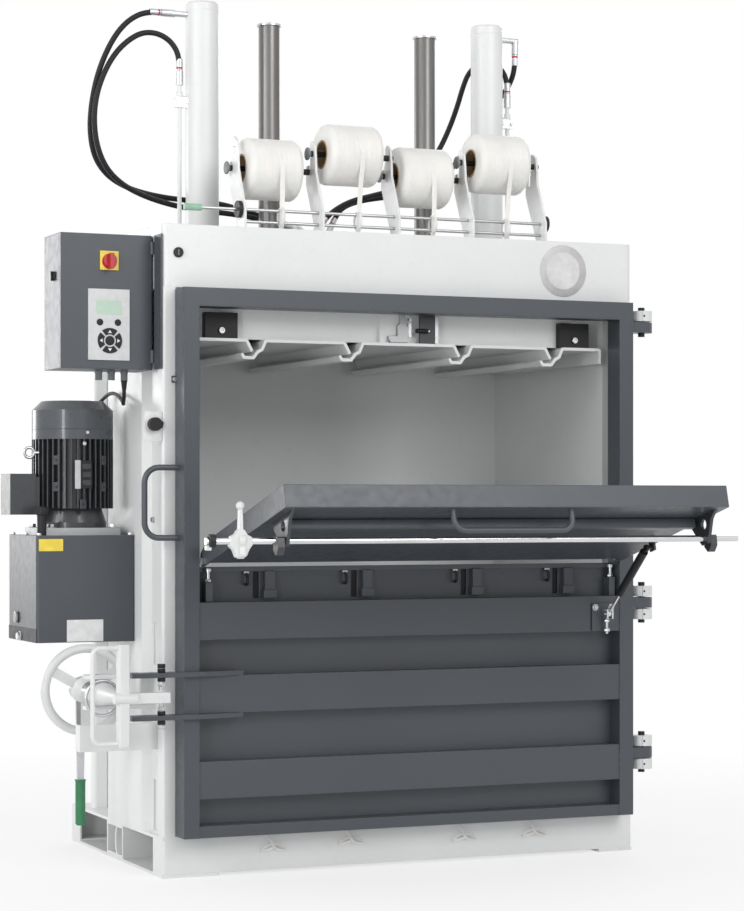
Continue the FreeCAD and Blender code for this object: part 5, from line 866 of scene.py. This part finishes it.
# places in millimetres in the baler's frame, each shared by several pieces
SIDES = (("left", -1), ("right", 1))
ROLLS = ((-324.75, -255, 1817), (-108.25, -280, 1862), (108.25, -255, 1817), (324.75, -280, 1862))
KNOTS = ((-376, 70), (-160, 76), (165, 68), (372, 70))
CYLINDER_X, CLAMP_X, PANEL_X, COLUMN_X, SLIDE_BLOCK_X = 426, 486, 649.5, 233, 507
CATCH_Y, LEAF_Y, BACK_Y, RAIL_Y = -365.5, -332, -192, -199
RAILS_Z = (1540, 1446, 1352)
SWITCH_Z = 1553.5
MOTOR_X, MOTOR_Y, MOTOR_FACE, MOTOR_ROUND = -800, -38, -144.2, 106
TANK_SIDE, TANK_FRONT = -935, -173
WHEEL = (-808, -180, 465)
HOOK_BOLT = (-700, -470.5)
HINGE_PIN = (683, -430)
STRAP_SLOTS = (-428, -157, 157, 428)


class BALER_OT_strap_rolls(bpy.types.Operator):
    """Winds the four strap rolls on their card cores and spindles"""

    bl_idname = "baler.strap_rolls"
    bl_label = "Strap rolls"

    def execute(self, context):
        for number, at in enumerate(ROLLS, 1):
            name, body = f"strap_roll_{number}", f"roll_{number}"
            wraps = [(38.2, -84.2), (52, -85.2), (62, -85.6), (69, -84.6), (74, -82),
                (77.4, -77.8), (79.2, -72.4)]
            for band in range(10):
                start = -71.5 + band * 12.4
                crest = (79.7, 79.9, 79.75, 80.0, 79.8)[(band * 3 + number) % 5]
                wraps += [(crest - 0.12, start), (crest, start + 0.9), (crest, start + 11.5),
                          (crest - 0.12, start + 12.2)]
            wraps += [(79.2, 53.4), (77.2, 58), (73.6, 61.8), (68, 64.2), (60, 65), (50, 64.6),
                (38.2, 63.8), (38.2, -84.2)]
            winding = Form().turned(wraps, at, RIGHT, 96).piece(name + ".winding",
                "wound strap", body, centre=at)
            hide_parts(name)
            core = Form().turned([(34.2, -85.6), (37.6, -86), (38.1, -85.4), (38.1, 65.4),
                                  (37.6, 66), (34.2, 65.6), (34.2, -85.6)], at, RIGHT, 64)
            core.piece(name + ".core", "roll card", body, centre=at)
            hub = [(8, 30), (12, 30), (13, 34), (31, 38), (34, 40), (34, 50), (32.5, 51), (12, 46),
                (12, 58), (8, 58), (8, 30)]
            middle = Vector(at) - Vector((10, 0, 0))
            for side, turn in SIDES:
                Form().turned([(radius, turn * reach) for radius, reach in hub], middle,
                    RIGHT, 48).piece(f"{name}.{side}_hub", "black moulding", body, centre=at)
            bar = [(0, -118), (7.4, -118), (7.9, -117), (7.9, -90), (7.2, -88), (7.2, 88),
                (7.9, 90), (7.9, 117), (7.2, 119.2), (0, 119.2)]
            spindle = Form().turned(bar, at, RIGHT, 28)
            spindle.piece(name + ".spindle", "black moulding", body, centre=at)
            knob = [(0, -128.2), (13, -128.2), (16.2, -127.2), (17, -125.4), (17, -123.6),
                (15.8, -122.2), (9.6, -120.6), (8.4, -117), (0, -117)]
            grip = Form().turned(knob, at, RIGHT, 36)
            grip.piece(name + ".knob", "grey moulding", body, centre=at)
        return {"FINISHED"}


class BALER_OT_strap_tails(bpy.types.Operator):
    """Leads a strap from each roll through its ring, and knots the ends at the base"""

    bl_idname = "baler.strap_tails"
    bl_label = "Strap ends"

    def execute(self, context):
        width, thick = sizes().strap_width / MM, sizes().strap_thick / MM
        for number, (x, y, z) in enumerate(ROLLS, 1):
            front = y - 80.8
            lean = (-331 - front) / 4
            line = [(x, front + 0.9, z + 12), (x, front, z - 4), (x + 0.6, front + lean, z - 40),
                    (x + 1, front + 2.4 * lean, z - 78), (x + 0.6, -331.5, 1708), (x, -330.6, 1690),
                    (x, -330.6, 1670), (x, -326, 1659), (x, -318, 1651.2)]
            strap = Form().ribbon(smoothed(line, 5), width, thick, RIGHT)
            strap.piece(f"strap_tail_{number}", "woven strap")
        for number, (x, z) in enumerate(KNOTS, 1):
            tail = smoothed([(x - 24, -397, 104), (x - 17, -400, z + 22),
                (x - 4, -403, z + 8), (x, -402, z)], 5)
            strap = Form().ribbon(tail, width * 0.5, thick, (1, 0, 0.5))
            strap.piece(f"base_tail_{number}", "woven strap")
            knot = Form()
            for side in (-1, 1):
                wing = [(x, -402, z + 3), (x + side * 14, -405, z + 1),
                    (x + side * 31, -402, z - 9), (x + side * 33, -398, z - 14),
                    (x + side * 18, -399, z - 13), (x, -402, z - 7)]
                knot.ribbon(smoothed(wing, 5), width * 0.45, thick, (0, 0.5, 1))
            knot.rod(smoothed([(x - 6, -404, z + 4), (x, -407, z - 2), (x + 6, -404, z - 8),
                (x, -400, z - 3)], 4), 2.2, 8)
            knot.piece(f"base_knot_{number}", "woven strap")
        return {"FINISHED"}


class BALER_OT_head(bpy.types.Operator):
    """Adds the plate, welds, clamps, insets and column seals of the head and frame"""

    bl_idname = "baler.head"
    bl_label = "Head and cylinders"

    def execute(self, context):
        plate = Form().turned([(0, 0), (70, 0), (70, 0.8), (69.4, 1.2), (0, 1.2)],
            (462, -395, 1570), FRONT, 72)
        plate.piece("head_plate", "silver plate")
        Form().disc(50, 0.4, (462, -396.2, 1570), FRONT, 72).piece("head_plate_face", "pearl plate")
        slot = Form().plate(3, 15, 0.6, (-630, -399.2, 1577), radius=1)
        slot.piece("head_plug_slot", "grey moulding")
        for side, turn in SIDES:
            x = turn * CYLINDER_X
            weld = [(44.8, 0), (51, 0), (50.4, 2.2), (48, 4.6), (45.8, 6.4), (44.8, 6.6)]
            Form().turned(weld, (x, 0, 1649), UP, 64).piece(f"{side}_cylinder_weld", "white paint")
            seam = [(45, 0), (45.5, 0.4), (45.7, 1.4), (45.5, 2.4), (45, 2.8)]
            ridge = Form().turned(seam, (x, 0, 2268), UP, 64)
            ridge.piece(f"{side}_cylinder_cap_seam", "white paint")
        for side, turn in SIDES:
            x = turn * CLAMP_X
            block = Form().plate(36, 26, 18, (x, 9, 2021), radius=2)
            for shift in (-13, 13):
                block.hex_head((x + shift, -9, 2021), FRONT, 7, 3, 0.6)
            block.piece(f"{side}_pipe_clamp", "zinc plate", bevel=0.6)
        for side, turn in SIDES:
            inset = Form()
            for low, high in ((105, 256), (527, 652)):
                middle = (turn * PANEL_X, -260, (low + high) / 2)
                inset.plate(2, high - low, 90, middle, RIGHT, UP, 0.5)
            inset.piece(f"{side}_panel_insets", "white paint")
        for side, turn in SIDES:
            x = turn * COLUMN_X
            wiper = Form().ring(34.2, 46, 2, (x, 0, 1665), UP, 48)
            wiper.piece(f"{side}_column_wiper", "black moulding")
            bolts = Form()
            for angle in map(math.radians, (45, 135, 225, 315)):
                spot = (x + 41 * math.cos(angle), 41 * math.sin(angle), 1666.8)
                bolts.socket_head(spot, UP, 4, 3.2)
            bolts.piece(f"{side}_column_bolts", "zinc plate")
        return {"FINISHED"}


class BALER_OT_platen(bpy.types.Operator):
    """Adds the bolts and the catch of the press platen"""

    bl_idname = "baler.platen"
    bl_label = "Platen fittings"

    def execute(self, context):
        for side, turn in SIDES:
            bolt = Form().turned([(0, 0), (8.6, 0), (8.6, 5), (7.6, 6), (4.6, 6), (4.2, 2.5),
                                  (0, 2.5)], (turn * SLIDE_BLOCK_X, -375.2, 1385), FRONT, 28)
            bolt.piece(f"{side}_slide_block_bolt", "hard chrome", "ram")
        hook = [(-17, 1385), (-43, 1383), (-43, 1374), (-36, 1366), (13, 1366), (15, 1408),
            (8, 1414), (4, 1445), (-8, 1445), (-10, 1418), (-17, 1411)]
        catch = Form().prism(hook, (0, CATCH_Y, 0), RIGHT, UP, 12)
        catch.piece("platen_catch_hook", "cast aluminium", "ram", bevel=1.2)
        strip = Form().plate(9, 38, 4, (22, CATCH_Y, 1400), radius=1)
        for z in (1427, 1441):
            strip.hex_head((22, -365.8, z), FRONT, 9, 5, 1)
        strip.piece("platen_catch_strip", "zinc plate", "ram")
        block = Form().plate(42, 77, 9, (70, CATCH_Y, 1404.5), radius=1.5)
        block.piece("platen_catch_block", "motor paint", "ram", bevel=0.6)
        guide = Form().plate(10, 77, 11, (96.5, CATCH_Y, 1404.5), radius=1)
        guide.piece("platen_catch_guide", "zinc plate", "ram", bevel=0.5)
        stud = Form().turned([(0, 0), (5.2, 0), (6, 0.8), (6, 33), (5.2, 34),
                              (0, 34)], (34, -380, 1398), RIGHT, 20)
        stud.piece("platen_catch_stud", "black moulding", "ram")
        tip = Form().turned([(0, 0), (4.6, 0), (4.6, 5), (3, 6.4), (0, 6.8)], (68, -380, 1398),
                            RIGHT, 20)
        tip.piece("platen_catch_tip", "hard chrome", "ram")
        return {"FINISHED"}


class BALER_OT_cabinet(bpy.types.Operator):
    """Adds the screen, keys, switch ring, seal, gland nuts and lock of the cabinet"""

    bl_idname = "baler.cabinet"
    bl_label = "Control cabinet"

    def execute(self, context):
        leaf, face = "cabinet_leaf", LEAF_Y
        screen = Form().prism(rounded(66, 35, 1.5), (-792, face, 1437.5), RIGHT, UP, 0.5)
        screen.piece("screen", "display screen", leaf)
        ring = sizes().key_ring / MM
        keys = Form()
        marks = Form()
        for turn in (0, 90, 180, 270):
            keys.prism(sector(ring * 0.5, ring, turn - 39, turn + 39, 10),
                (-790, face, 1354), RIGHT, UP, 1.6)
            a = math.radians(turn)
            tip, half = ring * 0.84, ring * 0.16
            points = [(tip * math.cos(a) - s * half * math.sin(a) - b * math.cos(a),
                       tip * math.sin(a) + s * half * math.cos(a) - b * math.sin(a))
                      for s, b in ((0, 0), (1, half * 1.5), (-1, half * 1.5))]
            marks.prism(points, (-790, face - 1.6, 1354), RIGHT, UP, 0.3)
        keys.turned([(0, 0), (ring * 0.38, 0), (ring * 0.38, 1.4), (ring * 0.33, 1.9), (0, 1.9)],
                    (-790, face, 1354), FRONT, 32)
        for x in (-816, -769):
            keys.turned([(0, 0), (8.6, 0), (8.6, 1.0), (7.4, 1.6), (0, 1.6)],
                (x, face, 1400), FRONT, 28)
        keys.piece("arrow_keys", "key rubber", leaf, bevel=0.3)
        marks.piece("key_marks", "key mark", leaf)
        screws = Form()
        for z, x in product((1536, 1576), (-811, -771)):
            screws.pan_head((x, -333, z), FRONT, 1.7)
        screws.piece("switch_plate_screws", "zinc plate", leaf)
        ring_nut = Form().ring(10, 19.5, 1.2, (-791, -333, SWITCH_Z), FRONT, 40)
        ring_nut.piece("switch_ring", "red moulding", leaf)
        seal = Form()
        for low, high in (((-915, 1285), (-674, 1285)), ((-915, 1621), (-674, 1621)),
                          ((-915, 1285), (-915, 1621)), ((-674, 1285), (-674, 1621))):
            middle = ((low[0] + high[0]) / 2, -315.1, (low[1] + high[1]) / 2)
            seal.plate(abs(high[0] - low[0]) + 3, abs(high[1] - low[1]) + 3, 0.1, middle, radius=1)
        seal.piece("cabinet_seal", "black moulding")
        nuts = Form()
        for x in (-792, -758, -724):
            nuts.turned([(9, 0), (10.6, 0), (10.6, 5), (9.6, 6), (9, 6), (9, 0)],
                (x, -243, 1282), DOWN, 6)
        nuts.piece("gland_nuts", "grey moulding")
        barrel = Form().turned([(0, 0), (9, 0), (9, 3), (7.6, 4), (3, 4), (3, 2.6), (0, 2.6)],
            (-917, -278, 1517), LEFT, 24)
        barrel.plate(5, 24, 9, (-917, -271, 1517), (0, -1, 0), UP, 1.5)
        barrel.piece("cabinet_lock", "black moulding")
        nut = Form().nut((-684, -398.5, 1143), FRONT, 24, 5, 8)
        nut.piece("safety_switch_nut", "black moulding")
        return {"FINISHED"}


class BALER_OT_cabinet_inside(bpy.types.Operator):
    """Fits the mounting plate, rails, relays and ducts that show when the cabinet is open"""

    bl_idname = "baler.cabinet_inside"
    bl_label = "Cabinet inside"

    def execute(self, context):
        back = Form().plate(212, 306, 2, (-796, -190, 1453), radius=3)
        for x, z in product((-893, -699), (1309, 1597)):
            back.disc(5, 3.6, (x, -186.8, z), FRONT, 16)
            back.hex_head((x, BACK_Y, z), FRONT, 8, 4, 0.8)
        back.piece("cabinet_back_plate", "zinc plate")
        rails, ducts, relays, terminals = Form(), Form(), Form(), Form()
        for z in RAILS_Z:
            section = [(-17.5, 7), (-17.5, 6), (-13, 6), (-13, 0), (13, 0), (13, 6), (17.5, 6),
                (17.5, 7), (12, 7), (12, 1), (-12, 1), (-12, 7)]
            rails.prism(section, (-888, BACK_Y, z), (0, 0, 1), (0, -1, 0), 184)
        rails.piece("cabinet_rails", "drawn steel")
        for z in (1587, 1493, 1399):
            ducts.plate(184, 24, 42, (-796, BACK_Y, z), radius=1.5)
            for x in range(-880, -708, 12):
                ducts.plate(5, 27, 30, (x, -200, z), radius=0.8)
        ducts.piece("cabinet_ducts", "grey moulding")
        for x, width, tall, deep in ((-862, 44, 74, 62), (-812, 44, 74, 62), (-766, 36, 68, 50),
                (-730, 26, 68, 50)):
            relays.plate(width, tall, deep, (x, RAIL_Y, RAILS_Z[0]), radius=3)
            relays.plate(width - 10, tall * 0.45, 7, (x, RAIL_Y - deep, RAILS_Z[0]), radius=2)
            for shift, z in product((-0.28, 0.28), (-0.38, 0.38)):
                screw = (x + shift * width, RAIL_Y - deep, RAILS_Z[0] + z * tall)
                relays.ring(1.5, 4, 1.5, screw, FRONT, 12)
        for x, width in ((-850, 66), (-770, 50)):
            relays.plate(width, 64, 56, (x, RAIL_Y, RAILS_Z[1]), radius=3)
            relays.plate(width - 14, 34, 5, (x, -255, RAILS_Z[1]), radius=2)
        relays.piece("cabinet_relays", "black moulding", bevel=0.5)
        for k in range(20):
            at = (-884 + 8.2 * k, RAIL_Y, RAILS_Z[2])
            terminals.plate(7.4, 44, 34, at, radius=1).plate(7.4, 26, 44, at, radius=1)
        terminals.piece("cabinet_terminals", "roll card")
        leaf = Form().plate(46, 46, 29, (-791, -321, SWITCH_Z), RIGHT, DOWN, 3)
        leaf.plate(38, 60, 14, (-791, -309, SWITCH_Z), RIGHT, DOWN, 2)
        for x in (-809, -773):
            leaf.disc(3, 6, (x, -326, SWITCH_Z), BACK, 16)
        leaf.plate(96, 162, 16, (-790, -325.5, 1395), RIGHT, DOWN, 2)
        leaf.piece("cabinet_leaf_units", "black moulding", "cabinet_leaf", bevel=0.6)
        return {"FINISHED"}


class BALER_OT_power_pack(bpy.types.Operator):
    """Adds the plates, plugs and bolts of the motor and the oil tank"""

    bl_idname = "baler.power_pack"
    bl_label = "Motor and oil tank"

    def execute(self, context):
        bolts = Form()
        for x, y in product((-884, -716), (-122, 46)):
            bolts.hex_head((x, y, 881), UP, 17, 8, 1.6)
        bolts.piece("motor_flange_bolts", "zinc plate")
        box = Form()
        for y, z in product((-74, -2), (925, 1011)):
            box.pan_head((-979.2, y, z), LEFT, 1.2)
        box.piece("terminal_box_screws", "zinc plate")
        bar = Form().plate(15, 74, 1.4, (-817.5, MOTOR_FACE, 1019), radius=1)
        bar.piece("motor_plate_bar", "silver plate")
        plate = Form().plate(31, 72, 1, (-794.5, MOTOR_FACE, 1019), radius=1.5)
        plate.piece("motor_plate", "black moulding")
        frames = Form()
        for z in (998, 1019, 1040):
            frames.plate(22, 13, 0.4, (-793.5, -145.2, z), radius=1)
        frames.piece("motor_plate_fields", "motor paint")
        bosses, hole_shades = Form(), Form()
        for x, z in ((-867, 1056), (-867, 987), (-742, 1056), (-742, 987), (-803, 942)):
            aside = x - MOTOR_X
            out = Vector((aside, -math.sqrt(MOTOR_ROUND ** 2 - aside ** 2), 0)) / MOTOR_ROUND
            across = Vector((-out.y, out.x, 0))
            foot = Vector((MOTOR_X, MOTOR_Y, z)) + out * 94
            bosses.plate(17, 24, 12.5, foot, across, UP, 2)
            # a black disc on each boss, painted shade standing for its hole
            hole_shades.disc(3.4, 0.4, foot + out * 12.4, out, 14)
        bosses.piece("motor_bosses", "motor paint", bevel=0.8)
        hole_shades.piece("motor_boss_hole_shades", "black moulding")
        screws = Form().socket_head((-800, -143.5, 1099), FRONT, 5, 5)
        screws.socket_head((-791, -143.5, 1128), FRONT, 4.4, 2.5)
        screws.piece("motor_screws", "zinc plate")
        seam = [(105.5, 0), (106.4, 0.5), (106.4, 1.7), (105.5, 2.2), (105.5, 0)]
        Form().turned(seam, (MOTOR_X, MOTOR_Y, 1136), UP, 72).piece("fan_cover_seam", "motor paint")
        cap = Form()
        for k in range(14):
            angle = math.tau * k / 14
            spot = (-913 + 17 * math.cos(angle), -143 + 17 * math.sin(angle), 919)
            cap.turned([(0, 0), (2.2, 0), (2.2, 14), (1.4, 15), (0, 15)], spot, UP, 8)
        cap.piece("filler_cap_ribs", "black moulding")
        upper = Form().plate(64, 31, 0.8, (-897, TANK_FRONT, 837.5), radius=1.5)
        upper.piece("tank_upper_plate", "yellow plate")
        lower = Form().plate(97, 56, 0.8, (-806.5, TANK_FRONT, 617), radius=1.5)
        lower.piece("tank_lower_plate", "white plate")
        # a thin black sheet low on the tank's side: painted shade, no part of the tank
        painted_skirt_shade = Form().plate(264, 35, 0.6, (TANK_SIDE, MOTOR_Y, 605.5), (0, -1, 0), UP, 1)
        painted_skirt_shade.piece("tank_skirt_painted_shade", "black moulding")
        boss = Form().plate(30, 30, 3, (TANK_SIDE, 12, 647), (0, -1, 0), UP, 2)
        boss.piece("oil_level_boss", "motor paint", bevel=0.5)
        plug = Form().turned([(0, 0), (15, 0), (15, 4), (13.5, 5), (9, 5), (8.4, 4.2), (0, 4.6)],
                             (-937.8, 12, 647), LEFT, 32)
        plug.piece("oil_level_plug", "sight plug")
        drain = Form().hex_head((TANK_SIDE, -15, 598), LEFT, 19, 8, 1.5)
        drain.piece("oil_drain_plug", "zinc plate")
        lid = Form()
        for x, y in product((-925, -682), (-163, -38, 87)):
            lid.hex_head((x, y, 862), UP, 10, 5, 1)
        lid.piece("tank_lid_bolts", "zinc plate")
        return {"FINISHED"}


class BALER_OT_lock(bpy.types.Operator):
    """Adds the thread, sleeve, ring, wheel rim and hook bolt nuts of the screw lock"""

    bl_idname = "baler.lock"
    bl_label = "Screw lock"

    def execute(self, context):
        pitch = sizes().thread_pitch / MM
        outline = [(13.05, 0)]
        run = 0.0
        while run < 90:
            outline += [(13.8, run + pitch * 0.35), (13.8, run + pitch * 0.5),
                        (13.05, run + pitch * 0.85)]
            run += pitch
        outline += [(0, run), (0, 0)]
        thread = Form().turned(outline, (WHEEL[0], -206, WHEEL[2]), FRONT, 40)
        thread.piece("spindle_thread", "turned steel", "lock_arm")
        cone = [(13.2, 0), (31, 0), (32.5, 2), (32.5, 12), (31, 15), (29, 34), (16.5, 150),
            (15.4, 178), (14.2, 189), (13.2, 190), (13.2, 0)]
        sleeve = Form().turned(cone, (WHEEL[0], -297, WHEEL[2]), FRONT, 48)
        sleeve.piece("lock_sleeve", "wheel paint", "lock_arm")
        loop = [(WHEEL[0] + 44 * math.sin(math.tau * k / 48), -330,
            454 - 44 * math.cos(math.tau * k / 48)) for k in range(48)]
        Form().rod(loop, 4.4, 12, closed=True).piece("lock_sleeve_ring", "zinc plate", "lock_arm")
        nuts, heads = Form(), Form()
        for z in (384, 430, 490):
            nuts.nut((*HOOK_BOLT, z), UP, 17, 10, 5.6)
        for z in (395, 418, 502, 524, 535.5):
            heads.nut((*HOOK_BOLT, z), UP, 19, 10.5, 5.6)
        nuts.piece("hook_bolt_nuts", "zinc plate", "door")
        x, y, z = WHEEL
        rim = [(x + 106.4 * math.sin(math.tau * k / 96), y, z + 106.4 * math.cos(math.tau * k / 96))
               for k in range(96)]
        wheel = Form().rod(rim, 11.4, 20, closed=True)
        wheel.piece("hand_wheel_rim", "wheel paint", "hand_wheel", centre=WHEEL)
        heads.piece("hook_bolt_heads", "black moulding", "door")
        return {"FINISHED"}


class BALER_OT_door(bpy.types.Operator):
    """Adds the fittings of the door, its hinges, the strut, the flap and its latch"""

    bl_idname = "baler.door"
    bl_label = "Door fittings"

    def execute(self, context):
        studs = Form()
        for x in (-565.5, 583.5):
            studs.nut((x, -436, 745.8), UP, 15, 8, 4)
            studs.hex_head((x, -436, 773), UP, 13, 6)
        studs.piece("stop_stud_nuts", "zinc plate", "door")
        hooks, pins = Form(), Form()
        for x in (slot - 30 for slot in STRAP_SLOTS):
            hook = [(0, 784), (0, 770), (-12, 762), (-17, 750), (-12, 740), (-2, 739)]
            line = smoothed([(x, -418 + y, z) for y, z in hook], 4)
            hooks.rod(line, 4, 10)
            pins.turned([(0, 0), (3, 0), (3.4, 0.8), (3.4, 13), (2.8, 14), (0, 14)],
                (x - 7, -424, 769), RIGHT, 14)
        hooks.piece("strap_hooks", "black moulding", "door")
        pins.piece("strap_hook_pins", "zinc plate", "door")
        foot = Form().plate(66, 74, 3, (545, -464.6, 640), radius=3)
        foot.piece("strut_foot_plate", "grey paint", "door", bevel=0.8)
        bolts = Form()
        for x in (570, 522):
            bolts.hex_head((x, -467.4, 666), FRONT, 12, 5, 1)
        bolts.turned([(0, 0), (3.8, 0), (4.2, 1), (4.2, 42), (0, 42)], (548, -482, 596), UP, 16)
        bolts.nut((548, -482, 602), UP, 15, 8, 3).nut((548, -482, 627), UP, 13, 7, 3)
        bolts.piece("strut_foot_bolts", "zinc plate", "door")
        dots, washers = Form(), Form()
        for z, leaf in ((1437, 1451), (693, 707), (660.3, 645), (288, 302), (255.3, 240)):
            washers.ring(9.3, 15, 1.2, (*HINGE_PIN, z), DOWN, 28)
            dots.disc(3, 0.3, (676, -458.9, leaf), FRONT, 14)
        washers.piece("hinge_washers", "zinc plate")
        dots.piece("hinge_grub_screws", "black moulding")
        # black plates behind the strap slots, painted shade that keeps the slots dark
        rubber = Form()
        for x in STRAP_SLOTS:
            rubber.plate(62, 92, 3, (x, -405.8, 737), radius=2)
        rubber.piece("slot_shade_plates", "black moulding", "door")
        latch = Form().plate(24, 17, 8, (-636.5, -395, 1256.5), radius=1.5)
        latch.piece("column_catch_block", "motor paint", bevel=0.6)
        catch = Form().hex_head((-641, -403, 1256.5), FRONT, 8, 3, 0.6)
        catch.hex_head((-672, -326.5, 903), LEFT, 12, 6, 1.2)
        catch.piece("column_screws", "zinc plate")
        lobes = [(-701, 868), (-690, 873), (-683, 884), (-667, 884), (-660, 872), (-648, 866),
            (-646, 850), (-655, 838), (-662, 822), (-675, 816), (-688, 820),
            (-694, 836), (-704, 846)]
        casting = Form().prism(lobes, (0, -955.5, 0), RIGHT, UP, 21)
        casting.piece("latch_lever_casting", "wheel paint", "latch", bevel=3)
        collar_ring = Form().ring(9, 15.5, 14, (-752, -964.97, 858), RIGHT, 28)
        collar_ring.piece("latch_bar_ring", "black moulding", "latch")
        stop = Form().plate(13, 12, 14, (-753, -956, 842), radius=2)
        stop.piece("latch_bar_stop", "wheel paint", "latch", bevel=1)
        stiffener = Form().plate(25, 25, 1104, (-552, -923.9, 893), (0, -0.9673, 0.2538),
                                 (0, -0.2538, -0.9673), 4)
        stiffener.piece("flap_stiffener", "grey paint", "flap")
        return {"FINISHED"}


PIECES = (BALER_OT_stage, BALER_OT_hoses, BALER_OT_motor_cable, BALER_OT_paint,
          BALER_OT_strap_rolls, BALER_OT_strap_tails, BALER_OT_head, BALER_OT_platen,
          BALER_OT_cabinet, BALER_OT_cabinet_inside, BALER_OT_power_pack, BALER_OT_lock,
          BALER_OT_door)


class BALER_PT_panel(bpy.types.Panel):
    """Lists the baler's sizes, colours and pieces"""

    bl_label = "Upright recycling baler"
    bl_space_type = "VIEW_3D"
    bl_region_type = "UI"
    bl_category = "Baler"

    def draw(self, context):
        layout = self.layout
        for kind in PIECES:
            layout.operator(kind.bl_idname, text=kind.bl_label)
        for heading, group in (("Sizes", context.scene.baler_sizes),
                ("Colours", context.scene.baler_colours)):
            box = layout.box()
            box.label(text=heading)
            for key in group.__annotations__:
                box.prop(group, key)


CLASSES = (BalerSizes, BalerColours, *PIECES, BALER_PT_panel)


def register():
    for kind in CLASSES:
        bpy.utils.register_class(kind)
    bpy.types.Scene.baler_sizes = bpy.props.PointerProperty(type=BalerSizes)
    bpy.types.Scene.baler_colours = bpy.props.PointerProperty(type=BalerColours)


def unregister():
    del bpy.types.Scene.baler_colours
    del bpy.types.Scene.baler_sizes
    for kind in reversed(CLASSES):
        bpy.utils.unregister_class(kind)


def main():
    register()
    for kind in PIECES:
        group, name = kind.bl_idname.split(".")
        getattr(getattr(bpy.ops, group), name)()


if __name__ == "__main__":
    main()
